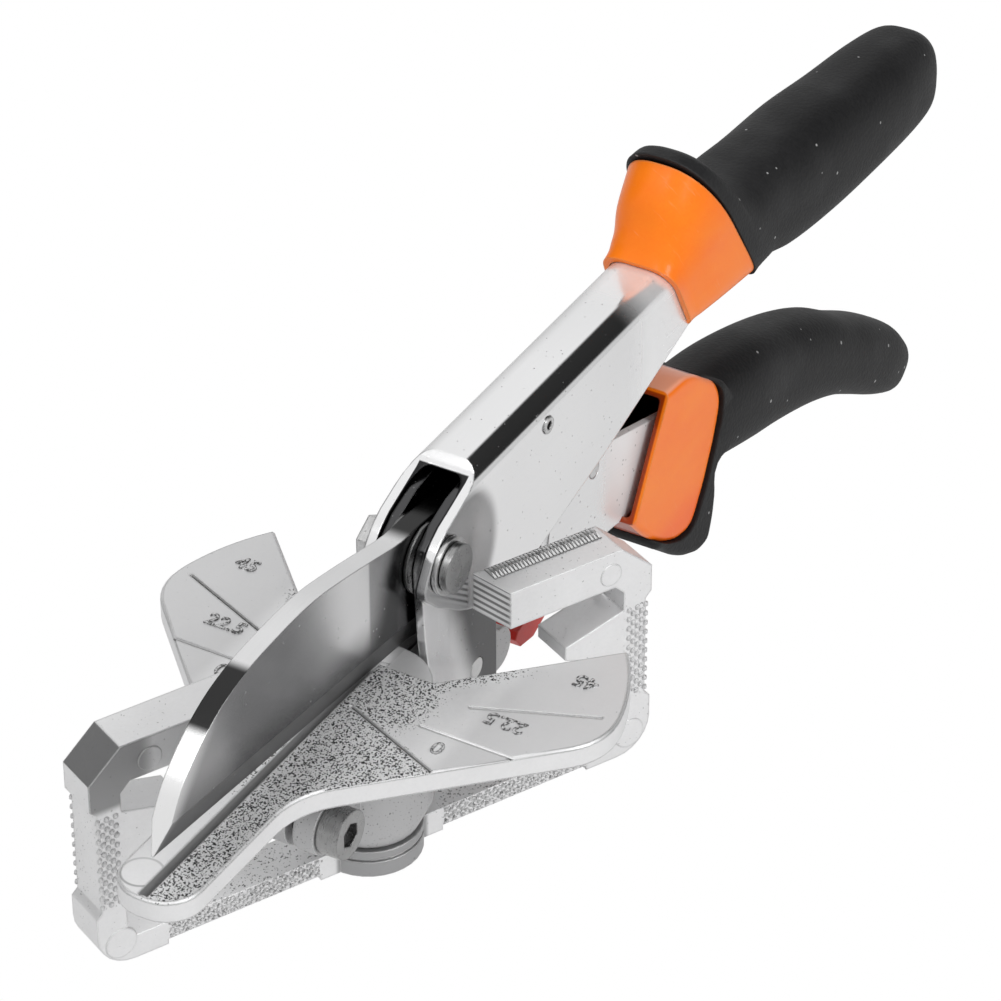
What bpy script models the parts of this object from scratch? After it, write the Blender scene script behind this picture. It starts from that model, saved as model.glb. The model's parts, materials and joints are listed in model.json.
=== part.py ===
"""Mitre shears: an upper handle that carries an anvil with an angle dial and a swivelling fence, and a
lower handle that carries the blade. Metres, +Z up. The origin is the fence's swivel axis at the flat
underside of its hub, +X points to the handles and -Y is the near side."""

from math import atan2, cos, pi, radians, sin, sqrt, tan

import bmesh
import bpy
from mathutils import Matrix, Vector

# Clearances and cutter overrun
SLIP = 0.0003
RUNNING = 0.0001
SEAT_GAP = 0.00015
OVERRUN = 0.003

# Facets on rounds and steps in a fillet
ROUND_SIDES = 32
SMALL_SIDES = 20
RING_SIDES = 32
FILLET_STEPS = 6
CURVE_STEPS = 3
COARSE_CURVE_STEPS = 2
SMOOTH_DEGREES = 32
EDGE_BREAK_DEGREES = 50
ROUNDED_EDGE_DEGREES = 60

# Jaw pivot and the levers that turn on it
PIVOT_X = 0.0150
PIVOT_Z = 0.0490
LEVER_REACH = 0.2000

# Anvil platform, measured from the swivel axis
PLATFORM_TOP = 0.0350
PLATFORM_THICKNESS = 0.0042
PLATFORM_EDGE_BREAK = 0.0004
NOSE_REACH = 0.0653
NOSE_HALF_WIDTH = 0.0071
NOSE_ROUNDING = 0.0062
WAIST_ROUNDING = 0.0150
WING_RADIUS = 0.0424
WING_FRONT_OFFSET = 0.0394
WING_ROUNDING = 0.0110
WING_FRONT_DEGREES = 225
WING_ARC_STEPS = 14
DIAL_CENTRE_FORWARD = 0.00775
HEEL_EDGE_X = 0.0031

# Cutting slot and dial lines
SLOT_WIDTH = 0.0018
SLOT_DEPTH = 0.0024
SLOT_FRONT_WALL = 0.0008
DIAL_LINE_WIDTH = 0.0006
DIAL_LINE_DEPTH = 0.0004
DIAL_STEP_DEGREES = 22.5
DIAL_SPAN_SHARES = ((-1, 0.066, 0.566), (0, 0.344, 0.755), (1, 0.486, 0.990))

# Split clamp boss under the platform
BOSS_RADIUS = 0.0108
BOSS_FOOT_RADIUS = 0.0085
BOSS_TAPER = 0.0049
BOSS_SPLIT = 0.0015
BORE_ROOF = 0.0070
LUG_RADIUS = 0.0048
LUG_HALF_WIDTH = 0.0045
SCREW_FORWARD = 0.0193
SCREW_HEIGHT = 0.0184
SPLIT_ABOVE_LUG = 0.0012

# Anvil root between the cheeks
ROOT_BOTTOM = 0.0115
ROOT_TOP = 0.0270
ROOT_START_X = 0.0070
ROOT_END_SHARE = 0.1365
ROOT_END_RADIUS = 0.0040
ROOT_SLOPE_TOP_SHARE = 0.0800

# Clamp screw and its nut
SCREW_RADIUS = 0.0024
SCREW_HEAD_RADIUS = 0.0043
SCREW_HEAD_LENGTH = 0.0040
SOCKET_FLATS = 0.0040
SOCKET_DEPTH = 0.0024
CLAMP_NUT_FLATS = 0.0080
CLAMP_NUT_LENGTH = 0.0040
THREAD_BEYOND_NUT = 0.0008

# Swivel pin and fence hub
SWIVEL_PIN_RADIUS = 0.0045
HUB_RADIUS = 0.0090
HUB_HEIGHT = 0.0050
HUB_FLOOR = 0.0016
HUB_GROOVE_HEIGHT = 0.0029
HUB_GROOVE_WIDTH = 0.0006
HUB_GROOVE_DEPTH = 0.0006

# Fence frame, drawn along its own face and turned to its rest angle
FENCE_REST_DEGREES = 26.3
FENCE_HALF_LENGTH = 0.0531
FENCE_THICKNESS = 0.0080
ARM_HEIGHT = 0.0071
FENCE_CORNER_ALONG = 0.0059
FENCE_CORNER_DOWN = 0.0054
FENCE_FOOT_ROUNDING = 0.0065
POST_WIDTH = 0.0055
POST_RECESS = 0.0011
POST_RECESS_BOTTOM = 0.0116
POST_RECESS_TOP = 0.0310
RAIL_HEIGHT = 0.0046
RAIL_RECESS = 0.0010
RAIL_RECESS_START = 0.0118
RAIL_RECESS_END = 0.0404
ARM_GAP = 0.0005
ARM_END_FRONT = 0.0252
ARM_END_BACK = 0.0232
WINDOW_CORNER = 0.0018
FINGER_REACH = 0.0116
FINGER_GAP = 0.0007
FINGER_TIP_DROP = 0.0030
FINGER_TIP_HEIGHT = 0.0025
FINGER_ROOT_HEIGHT = 0.0103

# Pivot bolt, washer and nut
PIVOT_RADIUS = 0.0029
PIVOT_HEAD_RADIUS = 0.0042
PIVOT_HEAD_LENGTH = 0.0013
PIVOT_WASHER_RADIUS = 0.0050
PIVOT_WASHER_LENGTH = 0.0008
PIVOT_NUT_FLATS = 0.0080
PIVOT_NUT_LENGTH = 0.0018
PIVOT_BEYOND_NUT = 0.0003

# Plates at the pivot, from the middle outwards
BLADE_THICKNESS = 0.0035
BLADE_SIDE_GAP = 0.0009
CHEEK_THICKNESS = 0.0015
UPPER_WALL = 0.0018
BLADE_WASHER_RADIUS = 0.0062

# Blade
BLADE_REACH = 0.0766
BLADE_BEVEL_HEIGHT = 0.0050
BLADE_EDGE = 0.0004
BLADE_SPINE_SHARES = ((-0.955, -0.042), (-0.922, 0.008), (-0.880, 0.046), (-0.830, 0.082),
                      (-0.770, 0.113), (-0.686, 0.137), (-0.560, 0.150), (-0.420, 0.151),
                      (-0.300, 0.132), (-0.180, 0.107), (-0.078, 0.087), (0.000, 0.085),
                      (0.091, 0.076), (0.196, 0.052))
BLADE_TANG_SHARES = ((0.1850, -0.0176), (0.2126, -0.0375), (0.2302, -0.0440), (0.2850, -0.0540),
                     (0.2850, -0.0873), (0.2252, -0.0800), (0.1655, -0.0705))
BLADE_THROAT_SHARES = ((0.157, -0.067), (0.078, -0.137), (0.033, -0.196))
BLADE_HEEL_SHARES = (-0.037, -0.202)
BLADE_TIP_SHARES = (-1.000, -0.114)

# Cheeks that carry the anvil
CHEEK_DROP = 0.0405
CHEEK_SHARES = ((-0.050, -1.000), (-0.050, -0.551), (-0.080, -0.368), (-0.095, -0.193),
                (-0.110, 0.005), (-0.075, 0.086), (0.012, 0.148), (0.148, 0.198), (0.370, 0.230),
                (0.889, 0.242), (0.889, 0.037), (0.617, -0.074), (0.479, -0.222), (0.479, -1.000))
CHEEK_FOOT_ROUNDING = 0.0025
CHEEK_PIN_RADIUS = 0.0019
CHEEK_PIN_HEIGHT = 0.0190
CHEEK_PIN_X = 0.0170
CHEEK_PIN_SPACING = 0.0110

# Upper channel
ROOF_RISE = 0.01206
ROOF_SLOPE_SHARE = 0.0198
UPPER_CORNER = 0.0040
UPPER_END_SHARE = 0.515
UPPER_EAR_SHARES = ((0.060, 0.0615), (0.0535, 0.055), (0.0265, 0.042), (-0.0095, 0.025),
                    (-0.0255, 0.0055), (-0.0325, -0.0165), (-0.026, -0.023), (-0.017, -0.032),
                    (0.0015, -0.045), (0.020, -0.0585), (0.055, -0.075), (0.115, -0.0825),
                    (0.1735, -0.071), (0.435, 0.0075))
CHANNEL_PIN_SHARES = (0.164, 0.0385)
CHANNEL_PIN_RADIUS = 0.0015
CHANNEL_PIN_BORE = 0.0008

# Lower channel
LOWER_CORNER = 0.0026
LOWER_CORNER_STEPS = 4
LOWER_WALL = 0.0015
LOWER_SIDE_SHARES = ((0.1975, -0.030), (0.180, -0.1225), (0.205, -0.1475), (0.310, -0.160),
                     (0.485, -0.195), (0.485, -0.112))
WEB_SHARES = ((0.255, -0.1535), (0.310, -0.160), (0.485, -0.195))
TANG_RIVET_RADIUS = 0.0016
TANG_RIVET_SHARES = ((0.210, -0.052), (0.263, -0.069))

# Return spring and its seat
SPRING_SHARE = 0.245
SPRING_RADIUS = 0.00315
SPRING_WIRE_RADIUS = 0.00050
SPRING_TURNS = 7
SPRING_POINTS_A_TURN = 10
SPRING_SIDE_STEPS = 1
SEAT_RADIUS = 0.0039
SEAT_FLANGE = 0.0012
SEAT_BOSS_HEIGHT = 0.0028
SEAT_STEM = 0.0010

# Safety latch
LATCH_PIN_SHARES = (0.225, -0.1325)
LATCH_PIN_RADIUS = 0.0012
LATCH_REACH_SHARE = 0.0800
LATCH_EYE_RADIUS = 0.0032
LATCH_SHARES = ((-0.250, -0.563), (-0.625, -0.731), (-0.900, -0.694), (-1.000, -0.556),
                (-0.950, -0.469), (-0.625, -0.375), (-0.280, 0.060))
LATCH_EYE_START_DEGREES = 130
LATCH_EYE_END_DEGREES = -80
LATCH_EYE_STEPS = 10

# Upper collar and grip: top point, bottom point and width at each ring
UPPER_GRIP_HALF_WIDTH = 0.0100
TOP_ROUNDNESS = 2.5
COLLAR_BOTTOM_ROUNDNESS = 7.0
GRIP_BOTTOM_ROUNDNESS = 3.0
COLLAR_SHARES = ((0.3665, 0.083, 0.4025, 0.000, 0.79), (0.3815, 0.098, 0.430, -0.002, 0.82),
                 (0.3965, 0.130, 0.465, -0.002, 0.89), (0.4195, 0.1515, 0.510, -0.001, 0.96))
UPPER_GRIP_SHARES = ((0.4175, 0.158, 0.5155, -0.0075, 0.98), (0.431, 0.155, 0.525, -0.0085, 0.98),
                     (0.455, 0.1225, 0.5375, -0.0105, 0.97), (0.490, 0.0965, 0.5575, -0.014, 0.96),
                     (0.565, 0.084, 0.590, -0.0235, 0.96), (0.6715, 0.078, 0.6795, -0.035, 0.95),
                     (0.7465, 0.068, 0.754, -0.0385, 0.92), (0.822, 0.0605, 0.829, -0.0405, 0.87),
                     (0.868, 0.054, 0.872, -0.040, 0.79), (0.892, 0.044, 0.891, -0.032, 0.65),
                     (0.902, 0.033, 0.900, -0.020, 0.42))
COLLAR_OPENING_GAP = 0.0006
COLLAR_NOTCH_SHARE = 0.436

# Lower guard and grip
GUARD_HALF_WIDTH = 0.0070
GUARD_WALL = 0.0018
GUARD_EDGE_ROUNDING = 0.0012
GUARD_EDGE_STEPS = 3
GUARD_SHARES = ((0.370, -0.0485), (0.4065, -0.053), (0.4425, -0.076), (0.461, -0.092),
                (0.467, -0.106), (0.4605, -0.1405), (0.4495, -0.166), (0.435, -0.1935),
                (0.4145, -0.217), (0.3955, -0.217), (0.374, -0.2085), (0.3425, -0.186),
                (0.3115, -0.153))
LOWER_GRIP_HALF_WIDTH = 0.0088
FLANGE_HALF_WIDTH = 0.0076
FLANGE_EDGE_ROUNDING = 0.0018
FLANGE_SHARES = ((0.450, -0.080), (0.4775, -0.0835), (0.485, -0.175), (0.463, -0.1775),
                 (0.4595, -0.2065), (0.454, -0.2335), (0.446, -0.249), (0.432, -0.252),
                 (0.4125, -0.246), (0.390, -0.2335), (0.365, -0.2125), (0.3475, -0.1955),
                 (0.355, -0.1825), (0.425, -0.105))
LOWER_GRIP_SHARES = ((0.475, -0.093, 0.4675, -0.185, 0.93), (0.5275, -0.1005, 0.4955, -0.1915, 0.94),
                     (0.573, -0.112, 0.536, -0.202, 0.94), (0.6195, -0.1265, 0.576, -0.211, 0.93),
                     (0.667, -0.1445, 0.618, -0.222, 0.92), (0.7155, -0.1675, 0.663, -0.236, 0.91),
                     (0.760, -0.1955, 0.7105, -0.255, 0.90), (0.812, -0.2255, 0.7575, -0.281, 0.88),
                     (0.850, -0.252, 0.796, -0.304, 0.84), (0.876, -0.278, 0.830, -0.3225, 0.75),
                     (0.890, -0.302, 0.860, -0.334, 0.53))


def material(name, colour, roughness, metallic):
    """A Principled material with the piece's plain colour."""
    made = bpy.data.materials.new(name)
    made.use_nodes = True
    shader = made.node_tree.nodes["Principled BSDF"]
    shader.inputs["Base Color"].default_value = (*colour, 1)
    shader.inputs["Roughness"].default_value = roughness
    shader.inputs["Metallic"].default_value = metallic
    return made


def body(name, rings, look=None):
    """A closed solid through rings of points. Without a material it is a cutter or a half-made piece."""
    mesh = bpy.data.meshes.new(name)
    shape = bmesh.new()
    loops = [[shape.verts.new(point) for point in ring] for ring in rings]
    for lower, upper in zip(loops, loops[1:]):
        for here in range(len(lower)):
            there = (here + 1) % len(lower)
            shape.faces.new((lower[here], lower[there], upper[there], upper[here]))
    shape.faces.new(loops[0])
    shape.faces.new(loops[-1])
    bmesh.ops.recalc_face_normals(shape, faces=shape.faces)
    shape.to_mesh(mesh)
    shape.free()
    mesh.shade_smooth()
    mesh.set_sharp_from_angle(angle=radians(SMOOTH_DEGREES))
    made = bpy.data.objects.new(name, mesh)
    bpy.context.scene.collection.objects.link(made)
    if look:
        mesh.materials.append(look)
    else:
        made.hide_render = True
        made.display_type = "WIRE"
    return made


def side_plate(name, outline, low, high, look=None):
    """An outline in X and Z, given thickness along Y."""
    return body(name, [[Vector((x, y, z)) for x, z in outline] for y in (low, high)], look)


def flat_plate(name, outline, low, high, look=None):
    """An outline in X and Y, given thickness along Z."""
    return body(name, [[Vector((x, y, z)) for x, y in outline] for z in (low, high)], look)


def turned(name, centre, axis, steps, sides, look=None):
    """A round piece along Y or Z through centre: each step is a place along the axis and a radius."""
    rings = []
    for along, radius in steps:
        ring = []
        for side in range(sides):
            turn = 2 * pi * (side + 0.5) / sides
            first, second = radius * cos(turn), radius * sin(turn)
            if axis == "Y":
                ring.append(Vector((centre[0] + first, along, centre[1] + second)))
            else:
                ring.append(Vector((centre[0] + first, centre[1] + second, along)))
        rings.append(ring)
    return body(name, rings, look)


def rounded(outline, radii):
    """The outline with each corner that has a radius turned into an arc."""
    points = []
    count = len(outline)
    for index, corner in enumerate(outline):
        radius = radii.get(index, 0)
        here = Vector(corner)
        before = Vector(outline[index - 1]) - here
        after = Vector(outline[(index + 1) % count]) - here
        if not radius:
            points.append(tuple(here))
            continue
        half = before.angle(after) / 2
        run = radius / tan(half)
        centre = here + (before.normalized() + after.normalized()).normalized() * radius / sin(half)
        start = here + before.normalized() * run - centre
        sweep = start.angle_signed(here + after.normalized() * run - centre)
        for step in range(FILLET_STEPS + 1):
            turn = -sweep * step / FILLET_STEPS
            points.append((centre.x + start.x * cos(turn) - start.y * sin(turn),
                           centre.y + start.x * sin(turn) + start.y * cos(turn)))
    return points


def grown(outline, distance):
    """The outline with every edge moved outwards by the distance."""
    count = len(outline)
    area = sum(outline[i - 1][0] * outline[i][1] - outline[i][0] * outline[i - 1][1] for i in range(count))
    side = 1 if area > 0 else -1
    points = []
    for index in range(count):
        here = Vector(outline[index])
        before = (here - Vector(outline[index - 1])).normalized()
        after = (Vector(outline[(index + 1) % count]) - here).normalized()
        normal = Vector((before.y + after.y, -before.x - after.x)).normalized() * side
        reach = distance / max(normal.dot(Vector((before.y, -before.x)) * side), 0.5)
        points.append(tuple(here + normal * reach))
    return points


def curved(points, steps):
    """Points on a smooth curve through the given ones, with that many steps between neighbours."""
    spots = [Vector(point) for point in points]
    ways = [(after - before).normalized() for before, after in zip(spots, spots[1:])]
    lengths = [(after - before).length for before, after in zip(spots, spots[1:])]
    tangents = [ways[0]]
    for index in range(1, len(ways)):
        tangents.append((ways[index - 1] * lengths[index] + ways[index] * lengths[index - 1]).normalized())
    tangents.append(ways[-1])
    made = []
    for index, length in enumerate(lengths):
        for step in range(steps):
            t = step / steps
            made.append(tuple(spots[index] * (2 * t**3 - 3 * t**2 + 1) + spots[index + 1] * (3 * t**2 - 2 * t**3)
                              + tangents[index] * length * (t**3 - 2 * t**2 + t)
                              + tangents[index + 1] * length * (t**3 - t**2)))
    made.append(tuple(spots[-1]))
    return made


def from_pivot(shares, reach=LEVER_REACH):
    """Side-view points given as shares of a reach from the jaw pivot."""
    return [(PIVOT_X + x * reach, PIVOT_Z + z * reach) for x, z in shares]


def roof_at(x):
    """Height of the upper channel's outer roof."""
    return PIVOT_Z + ROOF_RISE + ROOF_SLOPE_SHARE * (x - PIVOT_X)


def folded_section(half_out, half_in, corner, wall, floor, top):
    """The section of a sheet folded into a channel that opens downwards, across Y."""
    right = rounded([(half_out, floor), (half_out, top), (0, top)], {1: corner})[:-1]
    inner = rounded([(half_in, floor), (half_in, top - wall), (0, top - wall)], {1: corner - wall})[:-1]
    return (right + [(-y, z) for y, z in reversed(right)]
            + [(-y, z) for y, z in inner] + list(reversed(inner)))


def grip_ring(shares, half_width, bottom_roundness):
    """A closed ring through a top and a bottom point, rounder above than below."""
    top_x, top_z, bottom_x, bottom_z, width = shares
    top, bottom = (Vector((x, 0, z)) for x, z in from_pivot(((top_x, top_z), (bottom_x, bottom_z))))
    middle, half = (top + bottom) / 2, (top - bottom) / 2
    ring = []
    for side in range(RING_SIDES):
        turn = 2 * pi * (side + 0.5) / RING_SIDES
        power = 2 / (TOP_ROUNDNESS if sin(turn) > 0 else bottom_roundness)
        across = abs(cos(turn)) ** power * (1 if cos(turn) > 0 else -1)
        rise = abs(sin(turn)) ** power * (1 if sin(turn) > 0 else -1)
        ring.append(middle + half * rise + Vector((0, across * width * half_width, 0)))
    return ring


def apply_to(target, other, operation):
    """A Boolean between two bodies that stays on the first as a modifier."""
    step = target.modifiers.new(other.name, "BOOLEAN")
    step.operation = operation
    step.solver = "EXACT"
    step.object = other


def soften(target, width, degrees=EDGE_BREAK_DEGREES, steps=1):
    """A small bevel on the edges that are sharper than the angle."""
    step = target.modifiers.new("edge_break", "BEVEL")
    step.width = width
    step.segments = steps
    step.limit_method = "ANGLE"
    step.angle_limit = radians(degrees)


def carried(piece, holder):
    """Parents a piece that is drawn in world coordinates to the empty on its joint's axis."""
    bpy.context.view_layer.update()
    piece.parent = holder
    piece.matrix_parent_inverse = holder.matrix_world.inverted()


def empty(name, place, turn_degrees=0):
    made = bpy.data.objects.new(name, None)
    made.location = place
    made.rotation_euler = (0, 0, radians(turn_degrees))
    bpy.context.scene.collection.objects.link(made)
    return made


for old in list(bpy.data.objects):
    bpy.data.objects.remove(old, do_unlink=True)

cast_metal = material("cast_metal", (0.62, 0.62, 0.63), 0.50, 0.8)
steel = material("steel", (0.60, 0.60, 0.61), 0.25, 1.0)
plated = material("plated", (0.78, 0.78, 0.78), 0.12, 1.0)
blade_steel = material("blade_steel", (0.55, 0.56, 0.58), 0.20, 1.0)
orange = material("orange_plastic", (0.95, 0.22, 0.03), 0.35, 0.0)
black = material("black_rubber", (0.03, 0.03, 0.032), 0.70, 0.0)
red = material("red_plastic", (0.55, 0.02, 0.02), 0.40, 0.0)

pivot_side = (PIVOT_X, PIVOT_Z)
jaw_pivot = empty("jaw_pivot", (PIVOT_X, 0, PIVOT_Z))
fence_swivel = empty("fence_swivel", (0, 0, 0), -FENCE_REST_DEGREES)
latch_side = from_pivot([LATCH_PIN_SHARES])[0]
latch_axis = empty("latch_axis", (latch_side[0], 0, latch_side[1]))
clamp_axis = empty("clamp_axis", (-SCREW_FORWARD, 0, SCREW_HEIGHT))

# Half widths of the plates in the sandwich
blade_half = BLADE_THICKNESS / 2
cheek_in = blade_half + BLADE_SIDE_GAP
cheek_out = cheek_in + CHEEK_THICKNESS
upper_in = cheek_out + SLIP
upper_out = upper_in + UPPER_WALL
lower_in = cheek_in
lower_out = lower_in + LOWER_WALL
core_half = cheek_in - SLIP

# Anvil: platform with wings and nose
underside = PLATFORM_TOP - PLATFORM_THICKNESS
wing_x = (sqrt(2 * WING_RADIUS**2 - DIAL_CENTRE_FORWARD**2) - DIAL_CENTRE_FORWARD) / 2
front_x = (sqrt(2 * WING_RADIUS**2 - WING_FRONT_OFFSET**2) - WING_FRONT_OFFSET) / 2
wing_start = atan2(wing_x + DIAL_CENTRE_FORWARD, wing_x)
wing_end = atan2(front_x + WING_FRONT_OFFSET, front_x)
half_outline = [(HEEL_EDGE_X, HEEL_EDGE_X + DIAL_CENTRE_FORWARD)]
for step in range(WING_ARC_STEPS + 1):
    turn = wing_start + (wing_end - wing_start) * step / WING_ARC_STEPS
    half_outline.append((WING_RADIUS * cos(turn), WING_RADIUS * sin(turn)))
wing_corner = len(half_outline) - 1
half_outline.append((NOSE_HALF_WIDTH - WING_FRONT_OFFSET, NOSE_HALF_WIDTH))
half_outline.append((-NOSE_REACH, NOSE_HALF_WIDTH))
last = 2 * len(half_outline) - 1
outline = half_outline + [(x, -y) for x, y in reversed(half_outline)]
corner_radii = {}
for index, radius in ((wing_corner, WING_ROUNDING), (wing_corner + 1, WAIST_ROUNDING),
                      (wing_corner + 2, NOSE_ROUNDING)):
    corner_radii[index] = radius
    corner_radii[last - index] = radius
# The arc's steps that are nearer to the corner than the fillet reaches give way to it
corner_turn = radians(WING_FRONT_DEGREES) - (wing_end + pi / 2)
fillet_reach = WING_ROUNDING * tan(corner_turn / 2) + PLATFORM_THICKNESS / 2
step_length = WING_RADIUS * (wing_end - wing_start) / WING_ARC_STEPS
lost = int(fillet_reach / step_length)
kept = [index for index in range(len(outline)) if not 0 < wing_corner - min(index, last - index) <= lost]
corner_radii = {kept.index(index): radius for index, radius in corner_radii.items()}
outline = rounded([outline[index] for index in kept], corner_radii)
anvil = flat_plate("anvil", outline, underside, PLATFORM_TOP, cast_metal)
soften(anvil, PLATFORM_EDGE_BREAK)

# Anvil: boss, lugs and root under the platform
overlap = PLATFORM_THICKNESS / 2
boss_bottom = HUB_HEIGHT + 2 * SLIP
boss = turned("anvil_boss", (0, 0), "Z", ((boss_bottom, BOSS_FOOT_RADIUS),
              (boss_bottom + BOSS_TAPER, BOSS_RADIUS), (underside + overlap, BOSS_RADIUS)), ROUND_SIDES)
apply_to(anvil, boss, "UNION")
lug_outline = [(-BOSS_FOOT_RADIUS, SCREW_HEIGHT - LUG_RADIUS), (-BOSS_FOOT_RADIUS, SCREW_HEIGHT + LUG_RADIUS)]
for step in range(2 * FILLET_STEPS + 1):
    turn = pi / 2 + pi * step / (2 * FILLET_STEPS)
    lug_outline.append((-SCREW_FORWARD + LUG_RADIUS * cos(turn), SCREW_HEIGHT + LUG_RADIUS * sin(turn)))
lugs = side_plate("anvil_lugs", lug_outline, -LUG_HALF_WIDTH, LUG_HALF_WIDTH)
apply_to(anvil, lugs, "UNION")
root_end = PIVOT_X + ROOT_END_SHARE * LEVER_REACH
root_outline = [(PIVOT_X + ROOT_SLOPE_TOP_SHARE * LEVER_REACH, ROOT_TOP), (ROOT_START_X, ROOT_TOP),
                (ROOT_START_X, ROOT_BOTTOM)]
for step in range(2 * FILLET_STEPS + 1):
    turn = -pi / 2 + pi * step / (2 * FILLET_STEPS)
    root_outline.append((root_end - ROOT_END_RADIUS + ROOT_END_RADIUS * cos(turn),
                         ROOT_BOTTOM + ROOT_END_RADIUS + ROOT_END_RADIUS * sin(turn)))
root = side_plate("anvil_root", root_outline, -core_half, core_half)
apply_to(anvil, root, "UNION")
bore_top = underside + overlap - BORE_ROOF
bore = turned("anvil_bore", (0, 0), "Z", ((boss_bottom - OVERRUN, SWIVEL_PIN_RADIUS + RUNNING),
              (bore_top, SWIVEL_PIN_RADIUS + RUNNING)), ROUND_SIDES)
apply_to(anvil, bore, "DIFFERENCE")
split_top = SCREW_HEIGHT + LUG_RADIUS + SPLIT_ABOVE_LUG
split = side_plate("anvil_split", [(-SCREW_FORWARD - LUG_RADIUS - OVERRUN, boss_bottom - OVERRUN),
                   (-SWIVEL_PIN_RADIUS / 2, boss_bottom - OVERRUN), (-SWIVEL_PIN_RADIUS / 2, split_top),
                   (-SCREW_FORWARD - LUG_RADIUS - OVERRUN, split_top)], -BOSS_SPLIT / 2, BOSS_SPLIT / 2)
apply_to(anvil, split, "DIFFERENCE")
screw_side = (-SCREW_FORWARD, SCREW_HEIGHT)
screw_hole = turned("screw_hole", screw_side, "Y", ((-LUG_HALF_WIDTH - OVERRUN, SCREW_RADIUS + RUNNING),
                    (LUG_HALF_WIDTH + OVERRUN, SCREW_RADIUS + RUNNING)), SMALL_SIDES)
apply_to(anvil, screw_hole, "DIFFERENCE")

# Anvil: cutting slot and the dial's lines
slot = flat_plate("anvil_slot", [(-NOSE_REACH + SLOT_FRONT_WALL, -SLOT_WIDTH / 2),
                  (HEEL_EDGE_X + OVERRUN, -SLOT_WIDTH / 2), (HEEL_EDGE_X + OVERRUN, SLOT_WIDTH / 2),
                  (-NOSE_REACH + SLOT_FRONT_WALL, SLOT_WIDTH / 2)],
                  PLATFORM_TOP - SLOT_DEPTH, PLATFORM_TOP + OVERRUN)
apply_to(anvil, slot, "DIFFERENCE")
for side in (-1, 1):
    for step, start_share, end_share in DIAL_SPAN_SHARES:
        turn = radians(90 - step * DIAL_STEP_DEGREES)
        along, across = Vector((cos(turn), sin(turn) * side)), Vector((-sin(turn), cos(turn) * side))
        centre = Vector((-DIAL_CENTRE_FORWARD, 0))
        corners = []
        for run, shift in ((start_share, -1), (end_share, -1), (end_share, 1), (start_share, 1)):
            corners.append(tuple(centre + along * run * WING_RADIUS + across * shift * DIAL_LINE_WIDTH / 2))
        line = flat_plate("dial_line", corners, PLATFORM_TOP - DIAL_LINE_DEPTH, PLATFORM_TOP + OVERRUN)
        apply_to(anvil, line, "DIFFERENCE")

# Clamp screw and nut that close the split boss on the swivel pin
screw_face = -LUG_HALF_WIDTH - SEAT_GAP
nut_face = LUG_HALF_WIDTH + SEAT_GAP
nut_end = nut_face + CLAMP_NUT_LENGTH
clamp_screw = turned("clamp_screw", screw_side, "Y", (
    (screw_face - SCREW_HEAD_LENGTH, SCREW_HEAD_RADIUS), (screw_face, SCREW_HEAD_RADIUS),
    (screw_face, SCREW_RADIUS), (nut_end + THREAD_BEYOND_NUT, SCREW_RADIUS)), SMALL_SIDES, steel)
socket = turned("screw_socket", screw_side, "Y", (
    (screw_face - SCREW_HEAD_LENGTH - OVERRUN, SOCKET_FLATS / sqrt(3)),
    (screw_face - SCREW_HEAD_LENGTH + SOCKET_DEPTH, SOCKET_FLATS / sqrt(3))), 6)
apply_to(clamp_screw, socket, "DIFFERENCE")
carried(clamp_screw, clamp_axis)
clamp_nut = turned("clamp_nut", screw_side, "Y", ((nut_face, CLAMP_NUT_FLATS / sqrt(3)),
                   (nut_end, CLAMP_NUT_FLATS / sqrt(3))), 6, plated)
nut_bore = turned("clamp_nut_bore", screw_side, "Y", ((nut_face - OVERRUN, SCREW_RADIUS + RUNNING),
                  (nut_end + OVERRUN, SCREW_RADIUS + RUNNING)), SMALL_SIDES)
apply_to(clamp_nut, nut_bore, "DIFFERENCE")

# Fence: the outline of a frame that is open between its two arms
arm_bottom = PLATFORM_TOP + ARM_GAP
fence_height = arm_bottom + ARM_HEIGHT
post_inner = FENCE_HALF_LENGTH - POST_WIDTH
right_half = [(0, 0), (FENCE_HALF_LENGTH, 0),
              (FENCE_HALF_LENGTH, POST_RECESS_BOTTOM - POST_RECESS),
              (FENCE_HALF_LENGTH - POST_RECESS, POST_RECESS_BOTTOM),
              (FENCE_HALF_LENGTH - POST_RECESS, POST_RECESS_TOP),
              (FENCE_HALF_LENGTH, POST_RECESS_TOP + POST_RECESS),
              (FENCE_HALF_LENGTH, fence_height - FENCE_CORNER_DOWN),
              (FENCE_HALF_LENGTH - FENCE_CORNER_ALONG, fence_height), (ARM_END_BACK, fence_height),
              (ARM_END_BACK, arm_bottom), (post_inner - WINDOW_CORNER, arm_bottom),
              (post_inner, arm_bottom - WINDOW_CORNER), (post_inner, underside - FINGER_GAP),
              (post_inner - FINGER_REACH, underside - FINGER_GAP - FINGER_TIP_DROP),
              (post_inner - FINGER_REACH, underside - FINGER_GAP - FINGER_TIP_DROP - FINGER_TIP_HEIGHT),
              (post_inner, underside - FINGER_GAP - FINGER_ROOT_HEIGHT),
              (post_inner, RAIL_HEIGHT), (0, RAIL_HEIGHT)]
frame_outline = right_half[1:-1] + [(-x, z) for x, z in reversed(right_half[1:-1])]
last = len(frame_outline) - 1
frame_outline = rounded(frame_outline, {0: FENCE_FOOT_ROUNDING, last: FENCE_FOOT_ROUNDING})
fence_half = FENCE_THICKNESS / 2
fence_frame = side_plate("fence_frame", frame_outline, -fence_half, fence_half, cast_metal)
fence_frame.parent = fence_swivel
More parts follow.
